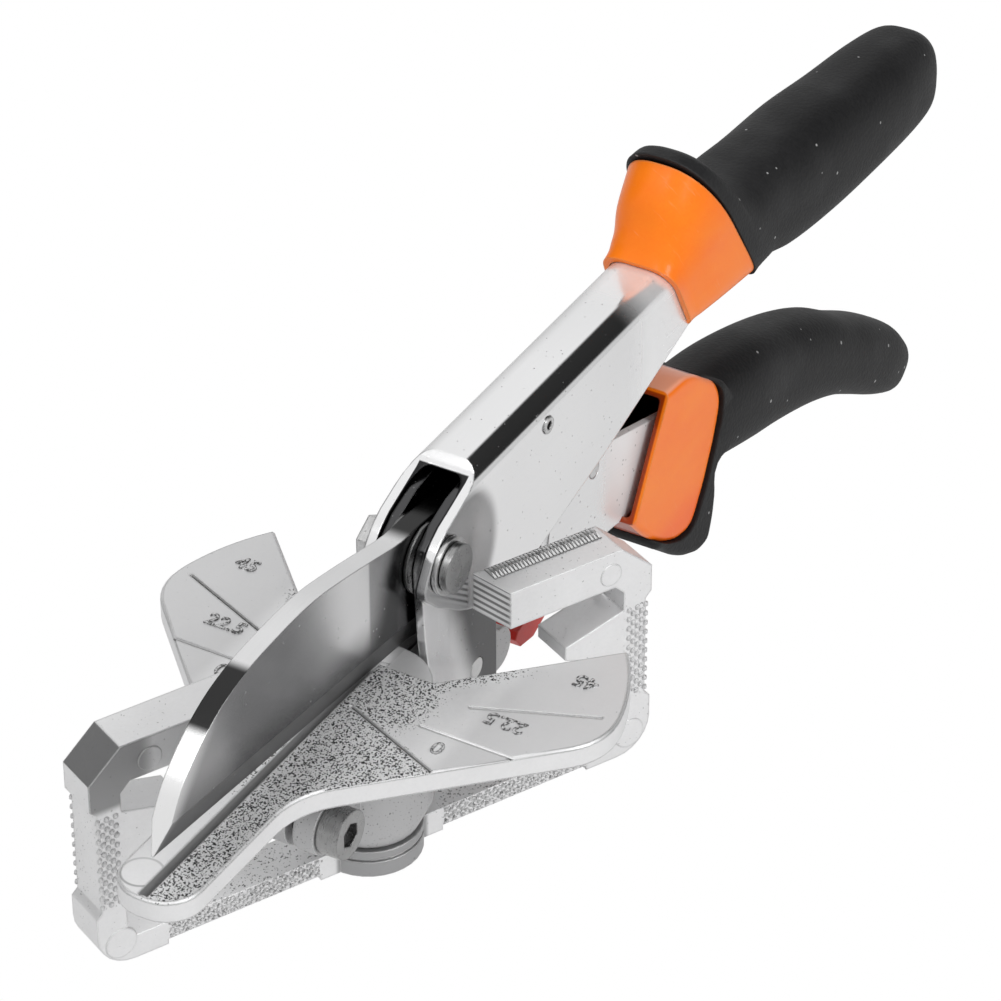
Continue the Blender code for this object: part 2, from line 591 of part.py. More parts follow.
hub = turned("fence_hub", (0, 0), "Z", (
    (0, HUB_RADIUS), (HUB_GROOVE_HEIGHT, HUB_RADIUS), (HUB_GROOVE_HEIGHT, HUB_RADIUS - HUB_GROOVE_DEPTH),
    (HUB_GROOVE_HEIGHT + HUB_GROOVE_WIDTH, HUB_RADIUS - HUB_GROOVE_DEPTH),
    (HUB_GROOVE_HEIGHT + HUB_GROOVE_WIDTH, HUB_RADIUS), (HUB_HEIGHT, HUB_RADIUS)), ROUND_SIDES)
hub.parent = fence_swivel
apply_to(fence_frame, hub, "UNION")
hub_bore = turned("fence_hub_bore", (0, 0), "Z", ((HUB_FLOOR, SWIVEL_PIN_RADIUS + RUNNING),
                  (HUB_HEIGHT + OVERRUN, SWIVEL_PIN_RADIUS + RUNNING)), ROUND_SIDES)
hub_bore.parent = fence_swivel
apply_to(fence_frame, hub_bore, "DIFFERENCE")
for side in (-1, 1):
    start, end = RAIL_RECESS_START * side, RAIL_RECESS_END * side
    recess = side_plate("rail_recess", [(start, -OVERRUN), (end, -OVERRUN), (end, RAIL_RECESS),
                        (start, RAIL_RECESS)], -fence_half - OVERRUN, fence_half + OVERRUN)
    recess.parent = fence_swivel
    apply_to(fence_frame, recess, "DIFFERENCE")
    slant = ARM_END_FRONT - ARM_END_BACK
    over = slant * OVERRUN / FENCE_THICKNESS
    wedge = flat_plate("arm_end", [((ARM_END_BACK - OVERRUN) * side, -fence_half - OVERRUN),
                       ((ARM_END_FRONT + over) * side, -fence_half - OVERRUN),
                       ((ARM_END_BACK - over) * side, fence_half + OVERRUN),
                       ((ARM_END_BACK - OVERRUN) * side, fence_half + OVERRUN)],
                       arm_bottom - OVERRUN, fence_height + OVERRUN)
    wedge.parent = fence_swivel
    apply_to(fence_frame, wedge, "DIFFERENCE")
swivel_pin = turned("swivel_pin", (0, 0), "Z", ((HUB_FLOOR + SEAT_GAP, SWIVEL_PIN_RADIUS),
                    (bore_top - SLIP, SWIVEL_PIN_RADIUS)), ROUND_SIDES, steel)
swivel_pin.parent = fence_swivel

# Cheeks, one on each side of the anvil's root
cheek_radii = {0: CHEEK_FOOT_ROUNDING, len(CHEEK_SHARES) - 1: CHEEK_FOOT_ROUNDING}
cheek_outline = rounded(from_pivot(CHEEK_SHARES, CHEEK_DROP), cheek_radii)
cheek_pins = [(CHEEK_PIN_X + step * CHEEK_PIN_SPACING, CHEEK_PIN_HEIGHT) for step in (0, 1)]
channel_pin_side = from_pivot([CHANNEL_PIN_SHARES])[0]
plates = [side_plate("cheek_near", cheek_outline, -cheek_out, -cheek_in, steel),
          side_plate("cheek_far", cheek_outline, cheek_in, cheek_out, steel)]
pin_reach = upper_out + SLIP
pin_places = [(place, CHEEK_PIN_RADIUS, name, cheek_out) for place, name in
              zip(cheek_pins, ("anvil_pin_front", "anvil_pin_rear"))]
pin_places += [(pivot_side, PIVOT_RADIUS, None, upper_out),
               (channel_pin_side, CHANNEL_PIN_RADIUS, "channel_pin", pin_reach)]
upper_holes = []
for place, radius, name, half in pin_places:
    hole = turned("pin_hole", place, "Y", ((-half - OVERRUN, radius + RUNNING),
                  (half + OVERRUN, radius + RUNNING)), SMALL_SIDES)
    for plate in plates:
        apply_to(plate, hole, "DIFFERENCE")
    if half == cheek_out:
        apply_to(anvil, hole, "DIFFERENCE")
    else:
        upper_holes.append(hole)
    if name:
        pin = turned(name, place, "Y", ((-half, radius), (half, radius)), SMALL_SIDES, plated)
        if name == "channel_pin":
            hollow = turned("channel_pin_bore", place, "Y", ((-half - OVERRUN, CHANNEL_PIN_BORE),
                            (half + OVERRUN, CHANNEL_PIN_BORE)), SMALL_SIDES)
            apply_to(pin, hollow, "DIFFERENCE")

# Upper channel: a sheet folded over the cheeks, cut to its side outline
upper_end_x = PIVOT_X + UPPER_END_SHARE * LEVER_REACH

section_rings = []
for x in (0, upper_end_x):
    section = folded_section(upper_out, upper_in, UPPER_CORNER, UPPER_WALL, 0, roof_at(x))
    section_rings.append([Vector((x, y, z)) for y, z in section])
upper_channel = body("upper_channel", section_rings, plated)
upper_profile = from_pivot(curved(UPPER_EAR_SHARES, CURVE_STEPS))
channel_low = upper_profile[-1][1]
upper_profile += [(upper_end_x + OVERRUN, channel_low),
                  (upper_end_x + OVERRUN, roof_at(upper_end_x) + OVERRUN),
                  (upper_profile[0][0], roof_at(upper_end_x) + OVERRUN)]
ear_cut = side_plate("upper_outline", upper_profile, -upper_out - OVERRUN, upper_out + OVERRUN)
apply_to(upper_channel, ear_cut, "INTERSECT")
for hole in upper_holes:
    apply_to(upper_channel, hole, "DIFFERENCE")

# Pivot bolt, washer and nut
washer_face = -upper_out - SEAT_GAP
head_face = washer_face - PIVOT_WASHER_LENGTH - SEAT_GAP
nut_seat = upper_out + SEAT_GAP
nut_back = nut_seat + PIVOT_NUT_LENGTH
pivot_bolt = turned("pivot_bolt", pivot_side, "Y", (
    (head_face - PIVOT_HEAD_LENGTH, PIVOT_HEAD_RADIUS), (head_face, PIVOT_HEAD_RADIUS),
    (head_face, PIVOT_RADIUS), (nut_back + PIVOT_BEYOND_NUT, PIVOT_RADIUS)), SMALL_SIDES, steel)
blade_washer = (blade_half + SEAT_GAP, cheek_in - SEAT_GAP)
round_pieces = [("pivot_washer", washer_face - PIVOT_WASHER_LENGTH, washer_face, PIVOT_WASHER_RADIUS, SMALL_SIDES),
                ("pivot_nut", nut_seat, nut_back, PIVOT_NUT_FLATS / sqrt(3), 6),
                ("blade_washer_near", -blade_washer[1], -blade_washer[0], BLADE_WASHER_RADIUS, SMALL_SIDES),
                ("blade_washer_far", blade_washer[0], blade_washer[1], BLADE_WASHER_RADIUS, SMALL_SIDES)]
for name, low, high, radius, sides in round_pieces:
    ring = turned(name, pivot_side, "Y", ((low, radius), (high, radius)), sides, plated)
    hole = turned("ring_hole", pivot_side, "Y", ((low - OVERRUN, PIVOT_RADIUS + RUNNING),
                  (high + OVERRUN, PIVOT_RADIUS + RUNNING)), SMALL_SIDES)
    apply_to(ring, hole, "DIFFERENCE")
    if name.startswith("blade"):
        carried(ring, jaw_pivot)

# Blade with a bevelled edge: the inner layers reach the edge, the outer ones stop above it
edge = from_pivot([BLADE_HEEL_SHARES, BLADE_TIP_SHARES], BLADE_REACH)
spine = (from_pivot(curved(BLADE_SPINE_SHARES, CURVE_STEPS), BLADE_REACH) + from_pivot(BLADE_TANG_SHARES)
         + from_pivot(BLADE_THROAT_SHARES, BLADE_REACH))
tip, beyond = Vector(edge[1]), Vector(spine[0])
heel = Vector(edge[0])
edge_way = (tip - heel).normalized()
lift = Vector((edge_way.y, -edge_way.x))
nose_way = (beyond - tip).normalized()
raised_tip = tip + nose_way * BLADE_BEVEL_HEIGHT / nose_way.dot(lift)
raised_heel = heel + lift * BLADE_BEVEL_HEIGHT
blade_rings = []
for y, ends in ((-blade_half, (raised_heel, raised_tip)), (-BLADE_EDGE / 2, (heel, tip)),
                (BLADE_EDGE / 2, (heel, tip)), (blade_half, (raised_heel, raised_tip))):
    blade_rings.append([Vector((x, y, z)) for x, z in [tuple(ends[0]), tuple(ends[1])] + spine])
blade = body("blade", blade_rings, blade_steel)
apply_to(blade, upper_holes[0], "DIFFERENCE")

# Lower channel: opens upwards around the blade's tang
lower_side = from_pivot(LOWER_SIDE_SHARES)
lower_channel = side_plate("lower_channel", lower_side, -lower_out, lower_out, plated)
soften(lower_channel, LOWER_CORNER, ROUNDED_EDGE_DEGREES, LOWER_CORNER_STEPS)
front_bevel = lower_channel.modifiers["edge_break"]
front_bevel.limit_method = "WEIGHT"
weights = lower_channel.data.attributes.new("bevel_weight_edge", "FLOAT", "EDGE")
belly = {(round(x, 7), round(z, 7)) for x, z in lower_side[2:5]}
for line in lower_channel.data.edges:
    ends = [lower_channel.data.vertices[index].co for index in line.vertices]
    if all((round(end.x, 7), round(end.z, 7)) in belly for end in ends) and ends[0].y == ends[1].y:
        weights.data[line.index].value = 1
web = from_pivot(WEB_SHARES)
hollow_front, hollow_end = lower_side[0][0] - LEVER_REACH, web[-1][0] + OVERRUN
hollow_low, hollow_top = web[0][1] - LEVER_REACH, lower_side[0][1] + OVERRUN
hollow_outline = [(hollow_front, hollow_low), (web[0][0], hollow_low)]
hollow_outline += [(x, z + LOWER_WALL) for x, z in web]
hollow_outline += [(hollow_end, web[-1][1] + LOWER_WALL), (hollow_end, hollow_top), (hollow_front, hollow_top)]
hollow = side_plate("lower_hollow", hollow_outline, -lower_in, lower_in)
apply_to(lower_channel, hollow, "DIFFERENCE")
lower_pins = [("tang_rivet_front", from_pivot(TANG_RIVET_SHARES)[0], TANG_RIVET_RADIUS, lower_out),
              ("tang_rivet_rear", from_pivot(TANG_RIVET_SHARES)[1], TANG_RIVET_RADIUS, lower_out),
              ("latch_pin", latch_side, LATCH_PIN_RADIUS, lower_out + SLIP)]
pin_cuts = {}
for name, place, radius, half in lower_pins:
    cut = turned(name + "_hole", place, "Y", ((-half - OVERRUN, radius + RUNNING),
                 (half + OVERRUN, radius + RUNNING)), SMALL_SIDES)
    apply_to(lower_channel, cut, "DIFFERENCE")
    if name != "latch_pin":
        apply_to(blade, cut, "DIFFERENCE")
    pin_cuts[name] = cut
    carried(turned(name, place, "Y", ((-half, radius), (half, radius)), SMALL_SIDES, plated), jaw_pivot)
carried(blade, jaw_pivot)
carried(lower_channel, jaw_pivot)

# Safety latch on its pin
latch_reach = LATCH_REACH_SHARE * LEVER_REACH
latch_outline = [(latch_side[0] + x * latch_reach, latch_side[1] + z * latch_reach)
                 for x, z in LATCH_SHARES]
for step in range(LATCH_EYE_STEPS + 1):
    turn = radians(LATCH_EYE_START_DEGREES
                   + (LATCH_EYE_END_DEGREES - LATCH_EYE_START_DEGREES) * step / LATCH_EYE_STEPS)
    latch_outline.append((latch_side[0] + LATCH_EYE_RADIUS * cos(turn),
                          latch_side[1] + LATCH_EYE_RADIUS * sin(turn)))
safety_latch = side_plate("safety_latch", latch_outline, -core_half, core_half, red)
apply_to(safety_latch, pin_cuts["latch_pin"], "DIFFERENCE")
carried(safety_latch, latch_axis)
carried(latch_axis, jaw_pivot)

# Spring seat on the lower channel's top edges
spring_x = PIVOT_X + SPRING_SHARE * LEVER_REACH
rim_front, rim_rear = lower_side[0], lower_side[-1]
rim_slope = (rim_rear[1] - rim_front[1]) / (rim_rear[0] - rim_front[0])
seat_bottom = rim_front[1] + rim_slope * (spring_x - SEAT_RADIUS - rim_front[0]) + SEAT_GAP
seat_top = seat_bottom + SEAT_FLANGE
boss_radius = SPRING_RADIUS - SPRING_WIRE_RADIUS - SLIP
spring_seat = turned("spring_seat", (spring_x, 0), "Z", (
    (seat_bottom - SEAT_STEM, core_half), (seat_bottom, core_half), (seat_bottom, SEAT_RADIUS),
    (seat_top, SEAT_RADIUS), (seat_top, boss_radius), (seat_top + SEAT_BOSS_HEIGHT, boss_radius)),
    SMALL_SIDES, plated)
carried(spring_seat, jaw_pivot)

# Return spring from the seat up to the channel's roof
spring_low = seat_top + SEAT_GAP + SPRING_WIRE_RADIUS
spring_high = roof_at(spring_x - SPRING_RADIUS) - UPPER_WALL - SEAT_GAP - SPRING_WIRE_RADIUS
wire = bpy.data.curves.new("return_spring", "CURVE")
wire.dimensions = "3D"
wire.bevel_depth = SPRING_WIRE_RADIUS
wire.bevel_resolution = SPRING_SIDE_STEPS
wire.use_fill_caps = True
coil = wire.splines.new("POLY")
coil_count = SPRING_TURNS * SPRING_POINTS_A_TURN + 1
coil.points.add(coil_count - 1)
coil_points = []
for index in range(coil_count):
    turn = 2 * pi * index / SPRING_POINTS_A_TURN
    height = spring_low + (spring_high - spring_low) * index / (coil_count - 1)
    coil_points.append(Vector((spring_x + SPRING_RADIUS * cos(turn), SPRING_RADIUS * sin(turn), height)))
    coil.points[index].co = (*coil_points[-1], 1)
return_spring = bpy.data.objects.new("return_spring", wire)
bpy.context.scene.collection.objects.link(return_spring)
wire.materials.append(steel)
half_turn = SPRING_POINTS_A_TURN // 2
least = min((a - b).length for i, a in enumerate(coil_points) for b in coil_points[i + half_turn:])
print("least gap between the spring's turns:", round(least - 2 * SPRING_WIRE_RADIUS, 5), "m")

# Collar and grip of the upper handle, each with its hole for the channel
upper_collar = body("upper_collar", [grip_ring(row, UPPER_GRIP_HALF_WIDTH, COLLAR_BOTTOM_ROUNDNESS)
                                     for row in curved(COLLAR_SHARES, CURVE_STEPS)], orange)
upper_grip = body("upper_grip", [grip_ring(row, UPPER_GRIP_HALF_WIDTH, GRIP_BOTTOM_ROUNDNESS)
                                 for row in curved(UPPER_GRIP_SHARES, COARSE_CURVE_STEPS)], black)
notch_x = PIVOT_X + COLLAR_NOTCH_SHARE * LEVER_REACH
for piece, gap, depth in ((upper_collar, COLLAR_OPENING_GAP, LEVER_REACH), (upper_grip, SLIP, 0)):
    front = notch_x - LEVER_REACH
    end = upper_end_x + gap
    floor = channel_low - gap
    outline = [(notch_x, floor), (end, floor), (end, roof_at(end) + gap), (front, roof_at(front) + gap),
               (front, floor - depth), (notch_x, floor - depth)]
    pocket = side_plate("channel_pocket", outline, -upper_out - gap, upper_out + gap)
    apply_to(piece, pocket, "DIFFERENCE")

# Guard of the lower handle: a sleeve that is open in front
guard_outline = from_pivot(curved(GUARD_SHARES, COARSE_CURVE_STEPS))
lower_guard = side_plate("lower_guard", guard_outline, -GUARD_HALF_WIDTH, GUARD_HALF_WIDTH, orange)
soften(lower_guard, GUARD_EDGE_ROUNDING, ROUNDED_EDGE_DEGREES, GUARD_EDGE_STEPS)
pocket_outline = grown(guard_outline, -GUARD_WALL)
front_top, front_low = Vector(pocket_outline[0]), Vector(pocket_outline[-1])
forward = Vector((front_low.y - front_top.y, front_top.x - front_low.x)).normalized() * GUARD_WALL * 3
pocket_outline += [tuple(front_low + forward), tuple(front_top + forward)]
pocket_half = GUARD_HALF_WIDTH - GUARD_WALL
guard_pocket = side_plate("guard_pocket", pocket_outline, -pocket_half, pocket_half)
apply_to(lower_guard, guard_pocket, "DIFFERENCE")
sleeve_outline = grown(lower_side, SLIP)
channel_sleeve = side_plate("channel_sleeve", sleeve_outline, -lower_out - SLIP, lower_out + SLIP)
apply_to(lower_guard, channel_sleeve, "DIFFERENCE")
carried(lower_guard, jaw_pivot)

# Grip of the lower handle with a rim around the guard
lower_grip = body("lower_grip", [grip_ring(row, LOWER_GRIP_HALF_WIDTH, GRIP_BOTTOM_ROUNDNESS)
                                 for row in curved(LOWER_GRIP_SHARES, COARSE_CURVE_STEPS)], black)
flange_outline = from_pivot(curved(FLANGE_SHARES, COARSE_CURVE_STEPS))
flange = side_plate("grip_flange", flange_outline, -FLANGE_HALF_WIDTH, FLANGE_HALF_WIDTH)
soften(flange, FLANGE_EDGE_ROUNDING, ROUNDED_EDGE_DEGREES, GUARD_EDGE_STEPS)
apply_to(lower_grip, flange, "UNION")
guard_room = side_plate("guard_room", grown(guard_outline, SLIP), -LOWER_GRIP_HALF_WIDTH - OVERRUN,
                        LOWER_GRIP_HALF_WIDTH + OVERRUN)
apply_to(lower_grip, guard_room, "DIFFERENCE")
apply_to(lower_grip, channel_sleeve, "DIFFERENCE")
carried(lower_grip, jaw_pivot)
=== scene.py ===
"""Looks of the mitre shears, in the order in which the tool is put together: studio, anvil and dial, fence,
upper lever, blade, lower lever, latch. Metres, +Z up, with the fence's swivel axis through the origin."""

import json
from math import cos, pi, radians, sin

import bmesh
import bpy
from mathutils import Matrix, Vector

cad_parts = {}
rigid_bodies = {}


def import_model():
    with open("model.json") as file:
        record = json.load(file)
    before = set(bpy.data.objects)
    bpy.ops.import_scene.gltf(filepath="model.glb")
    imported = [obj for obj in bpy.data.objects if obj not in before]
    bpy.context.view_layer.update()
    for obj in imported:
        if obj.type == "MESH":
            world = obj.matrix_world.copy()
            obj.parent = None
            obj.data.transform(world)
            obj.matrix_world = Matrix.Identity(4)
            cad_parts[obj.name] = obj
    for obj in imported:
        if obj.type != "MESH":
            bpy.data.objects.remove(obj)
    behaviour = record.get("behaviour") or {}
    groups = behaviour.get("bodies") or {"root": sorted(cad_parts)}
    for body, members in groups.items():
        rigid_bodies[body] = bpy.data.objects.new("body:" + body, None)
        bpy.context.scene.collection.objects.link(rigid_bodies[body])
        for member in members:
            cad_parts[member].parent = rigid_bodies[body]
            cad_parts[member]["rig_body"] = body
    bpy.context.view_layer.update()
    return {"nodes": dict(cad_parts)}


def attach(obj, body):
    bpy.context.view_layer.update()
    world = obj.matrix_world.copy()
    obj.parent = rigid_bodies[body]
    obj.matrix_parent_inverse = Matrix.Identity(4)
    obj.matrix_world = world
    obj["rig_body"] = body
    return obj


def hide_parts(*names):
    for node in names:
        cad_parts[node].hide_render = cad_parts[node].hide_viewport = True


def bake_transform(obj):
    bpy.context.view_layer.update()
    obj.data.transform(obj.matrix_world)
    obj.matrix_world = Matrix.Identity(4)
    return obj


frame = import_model()
scene = bpy.context.scene
nodes = frame["nodes"]


# Camera: 59.9 degrees round from the front and 35 degrees up, as in the photograph. The lens is long, so the
# tool's parallel edges stay nearly parallel
camera = bpy.data.objects.new("camera", bpy.data.cameras.new("camera"))
camera.data.sensor_width = 36.0
camera.data.lens = 176.17
camera.data.clip_start = 0.05
camera.location = (-0.53057, -0.33286, 0.50702)
right = Vector((0.501113, -0.865381, -0.001310))
up = Vector((0.497169, 0.286654, 0.818934))
back = Vector((-0.708314, -0.411029, 0.573886))
camera.rotation_euler = Matrix((right, up, back)).transposed().to_euler()
scene.collection.objects.link(camera)
scene.camera = camera
scene.view_settings.view_transform = "Standard"


# Studio: a white room with one dark side and a dark back, which the plated sheet and the blade mirror, and two
# soft lamps. The camera itself sees plain white
class Wire:
    """A socket of a node tree. Arithmetic on it adds Math nodes, and node() adds every other kind."""

    def __init__(self, tree, socket):
        self.tree = tree
        self.socket = socket

    @classmethod
    def node(cls, tree, kind, settings=None, sockets=None, out=0):
        """Adds a node: its settings first, then its sockets, each by value, by a wire or by a list of wires."""
        made = tree.nodes.new(kind)
        for setting, value in (settings or {}).items():
            setattr(made, setting, value)
        for socket, value in (sockets or {}).items():
            for given in value if isinstance(value, list) else [value]:
                if isinstance(given, cls):
                    tree.links.new(given.socket, made.inputs[socket])
                else:
                    made.inputs[socket].default_value = given
        return cls(tree, made.outputs[out] if made.outputs else None)

    def maths(self, operation, first, second=0.0):
        return Wire.node(self.tree, "ShaderNodeMath", {"operation": operation}, {0: first, 1: second})

    def __add__(self, other):
        return self.maths("ADD", self, other)

    def __sub__(self, other):
        return self.maths("SUBTRACT", self, other)

    def __rsub__(self, other):
        return self.maths("SUBTRACT", other, self)

    def __mul__(self, other):
        return self.maths("MULTIPLY", self, other)

    def __rtruediv__(self, other):
        return self.maths("DIVIDE", other, self)

    def __pow__(self, other):
        return self.maths("POWER", self, other)

    def __abs__(self):
        return self.maths("ABSOLUTE", self)

    __radd__ = __add__
    __rmul__ = __mul__

    def most(self, other):
        return self.maths("MAXIMUM", self, other)

    def wave(self):
        return self.maths("SINE", self)

    def parts(self):
        """The X, Y and Z parts of a direction or a place."""
        split = Wire.node(self.tree, "ShaderNodeSeparateXYZ", sockets={0: self})
        return [Wire(self.tree, socket) for socket in split.socket.node.outputs]

    def scaled(self, x, y, z):
        return Wire.node(self.tree, "ShaderNodeMapping", sockets={"Vector": self, "Scale": (x, y, z)})

    def turned(self, *degrees):
        rotation = [radians(angle) for angle in degrees]
        return Wire.node(self.tree, "ShaderNodeMapping", sockets={"Vector": self, "Rotation": tuple(rotation)})

    def noise(self, scale, detail=2.0, rough=0.5):
        return Wire.node(self.tree, "ShaderNodeTexNoise", sockets={
            "Vector": self, "Scale": scale, "Detail": detail, "Roughness": rough})

    def cells(self, scale):
        """The distance to the nearest of many scattered points."""
        return Wire.node(self.tree, "ShaderNodeTexVoronoi", {"feature": "F1"},
                         {"Vector": self, "Scale": scale}, "Distance")

    def step(self, low, high, start=0.0, end=1.0):
        """A smooth step from start, at and before low, to end, at and past high."""
        return Wire.node(self.tree, "ShaderNodeMapRange", {"interpolation_type": "SMOOTHSTEP"},
                         {0: self, 1: low, 2: high, 3: start, 4: end})

    def fade(self, low, high):
        """One up to low, and nothing past high."""
        return self.step(low, high, 1.0, 0.0)

    def tint(self, under, over):
        """A colour between two, this wire being the share of the second. A number stands for a plain grey."""
        colours = [one if isinstance(one, Wire) else (one, one, one, 1) if isinstance(one, float) else (*one, 1)
                   for one in (under, over)]
        return Wire.node(self.tree, "ShaderNodeMix", {"data_type": "RGBA"},
                         {0: self, 6: colours[0], 7: colours[1]}, 2)


world = bpy.data.worlds.new("studio")
world.use_nodes = True
scene.world = world
tree = world.node_tree
tree.nodes.clear()
x, y, z = Wire.node(tree, "ShaderNodeTexCoord", out="Generated").parts()
dark_side = (x * 0.708 - y * 0.43 + z * 0.56).step(0.775, 0.85)
dark_back = (y * 0.87 - x * 0.21 + z * 0.45).step(0.80, 0.95)
overhead = z.step(-0.2, 0.9, 0.66, 0.93)
room = overhead * (1.0 - 0.97 * dark_side) * (1.0 - 0.75 * dark_back)
seen = Wire.node(tree, "ShaderNodeLightPath", out="Is Camera Ray")
light = (room * (1.0 - seen) + seen).tint(0.0, 1.0)
Wire.node(tree, "ShaderNodeOutputWorld",
          sockets={"Surface": Wire.node(tree, "ShaderNodeBackground", sockets={"Color": light})})
aim = Vector((0.03, 0, 0.03))
for name, place, energy in (("key_light", (-0.05, -0.75, 0.60), 2.9), ("top_light", (-0.45, 0.15, 0.85), 1.6)):
    lamp = bpy.data.lights.new(name, "AREA")
    lamp.size = 0.40
    lamp.energy = energy
    holder = bpy.data.objects.new(name, lamp)
    holder.location = place
    holder.rotation_euler = (Vector(place) - aim).to_track_quat("Z", "Y").to_euler()
    scene.collection.objects.link(holder)


# Floor: a pale plain sheet, low enough for the lower lever to swing down over it when the jaw is wide open. It
# takes the tool's shadow, and the camera sees it as white as the room
class Finish:
    """A Principled material: even values sit on the shader's own sockets, and varying ones are wired to it."""

    def __init__(self, name, **even):
        self.material = bpy.data.materials.new(name)
        self.material.use_nodes = True
        self.tree = self.material.node_tree
        self.shader = self.tree.nodes["Principled BSDF"]
        for socket, value in even.items():
            self.shader.inputs[socket.replace("_", " ")].default_value = value
        self.place = Wire.node(self.tree, "ShaderNodeTexCoord", out="Object")

    def varies(self, socket, wire):
        self.tree.links.new(wire.socket, self.shader.inputs[socket])

    def facing(self):
        """The parts of the direction that the surface faces."""
        return Wire.node(self.tree, "ShaderNodeNewGeometry", out="Normal").parts()

    def worn_edges(self, radius):
        """The rounded normal, and a wire that is one on edges and corners and nothing on the faces."""
        rounded = Wire.node(self.tree, "ShaderNodeBevel", {"samples": 4}, {"Radius": radius})
        flat = Wire.node(self.tree, "ShaderNodeNewGeometry", out="Normal")
        alike = Wire.node(self.tree, "ShaderNodeVectorMath", {"operation": "DOT_PRODUCT"},
                          {0: rounded, 1: flat}, "Value")
        return rounded, 1.0 - alike

    def bumps(self, height, distance, strength=1.0, rounded=None):
        sockets = {"Strength": strength, "Distance": distance, "Height": height}
        if rounded is not None:
            sockets["Normal"] = rounded
        self.varies("Normal", Wire.node(self.tree, "ShaderNodeBump", sockets=sockets))

    def onto(self, *pieces):
        for piece in pieces:
            piece.data.materials.clear()
            piece.data.materials.append(self.material)


def as_mesh(name, shape):
    """A mesh from an edited shape, which is freed."""
    mesh = bpy.data.meshes.new(name)
    shape.to_mesh(mesh)
    shape.free()
    return mesh


floor_height = -0.100
shape = bmesh.new()
bmesh.ops.create_circle(shape, cap_ends=True, segments=64, radius=1.5)
bmesh.ops.translate(shape, verts=shape.verts, vec=(0, 0, floor_height))
floor = bpy.data.objects.new("floor", as_mesh("floor", shape))
scene.collection.objects.link(floor)
finish = Finish("pale_floor", Roughness=0.9)
finish.varies("Base Color", finish.place.noise(40.0, 3.0).tint(0.80, 0.85))
lit_or_white = Wire.node(finish.tree, "ShaderNodeMixShader", sockets={
    0: Wire.node(finish.tree, "ShaderNodeLightPath", out="Is Camera Ray"),
    1: Wire(finish.tree, finish.shader.outputs[0]),
    2: Wire.node(finish.tree, "ShaderNodeEmission")})
finish.tree.links.new(lit_or_white.socket, finish.tree.nodes["Material Output"].inputs["Surface"])
finish.onto(floor)


# Anvil: one pale die casting, a slotted nose that spreads into two dial wings, with a split clamp boss below. A
# maze of fine pits covers the nose and the dial's centre and thins out over the wings; the dial's lines are dark,
# the slot's walls and the casting below the platform's rim carry painted shade, and the nose's round pad and the
# rim are smooth
def welded(node):
    """A solid's faces with their corners joined and its flats made whole, ready for smooth shading."""
    shape = bmesh.new()
    shape.from_mesh(nodes[node].data)
    bmesh.ops.remove_doubles(shape, verts=shape.verts, dist=0.000001)
    bmesh.ops.dissolve_limit(shape, angle_limit=radians(0.2), verts=shape.verts, edges=shape.edges)
    return shape


def evaluated(holder):
    """The mesh that an object's modifiers make, as a plain mesh. The object and its modifiers are removed."""
    bpy.context.view_layer.update()
    made = bpy.data.meshes.new_from_object(holder.evaluated_get(bpy.context.evaluated_depsgraph_get()))
    holder.modifiers.clear()
    bpy.data.objects.remove(holder)
    return made


def in_place_of(node, mesh, name, crease, bends=None):
    """A smooth piece that is seen instead of a solid. Edges sharper than the crease stay sharp, and flats stay
    flat beside rounds. It rides on the solid's body, or, when bends are given, stays where it stands on no body;
    the bodies and points that bends holds are not read."""
    mesh.shade_smooth()
    mesh.set_sharp_from_angle(angle=radians(crease))
    draft = bpy.data.objects.new(name + "_draft", mesh)
    scene.collection.objects.link(draft)
    draft.modifiers.new("flats", "WEIGHTED_NORMAL").keep_sharp = True
    made = evaluated(draft)
    made.name = name
    piece = bpy.data.objects.new(name, made)
    scene.collection.objects.link(piece)
    if bends:
        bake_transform(piece)
    else:
        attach(piece, nodes[node]["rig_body"])
    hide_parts(node)
    return piece


def smoothed(node, crease, bends=None):
    """A solid's own welded copy, seen in its place."""
    return in_place_of(node, as_mesh(node, welded(node)), node + "_smooth", crease, bends)


def cool(grey, bluer=0.005):
    """A grey a touch cooler than neutral, as bare metal is."""
    return (grey, grey, grey + bluer)


def reach(first, second):
    """The distance from a line, out of two distances square to each other."""
    return (first ** 2.0 + second ** 2.0) ** 0.5


anvil = smoothed("anvil", 26)
finish = Finish("anvil_casting", Metallic=0.55)
x, y, z = finish.place.parts()
facing_up = finish.facing()[2]
fine = finish.place.noise(1500.0, 3.0, 0.6)
maze = finish.place.noise(3300.0, 1.0, 0.5)
cloud = finish.place.noise(110.0, 3.0)
top = z.step(0.0344, 0.0347) * facing_up.step(0.5, 0.9)
before_dial = ((x + 0.00775) * -0.924 - abs(y) * 0.383).step(-0.0016, 0.0006)
round_dial = reach(x + 0.0030, y).fade(0.0125, 0.0185)
heel_strip = (abs(y) - x).fade(0.0100, 0.0135) * abs(y).fade(0.0190, 0.0270)
beyond_slot = y.step(0.0007, 0.0010) * x.fade(-0.0420, -0.0300)
pad = reach(x + 0.0600, y - 0.0031)
pad_line = pad.step(0.0030, 0.0033) * pad.fade(0.0034, 0.0037) * x.step(-0.0612, -0.0600, 1.0, 0.6)
smooth_nose = pad.fade(0.0029, 0.0033).most(beyond_slot * 0.9)
coarse = before_dial.most(round_dial).most(heel_strip) * top * (1.0 - smooth_nose)
coarse = coarse.most(z.fade(0.0300, 0.0310) * 0.40)
rounded, edges = finish.worn_edges(0.0005)
pits = (maze + (1.0 - coarse) * 0.26 + edges * 0.8).fade(0.415, 0.470)
grooves = z.step(0.0345, 0.0346) * z.fade(0.0347, 0.0349) * facing_up.step(0.8, 0.95)
# Painted shade: the slot's walls are darkened, its floor less so. The dial's groove lines and the pad's ring are
# dark
slot_side = abs(y).fade(0.00086, 0.00098) * z.fade(0.0346, 0.0349) * z.step(0.030, 0.0305)
slot_side = slot_side * x.step(-0.0644, -0.0641)
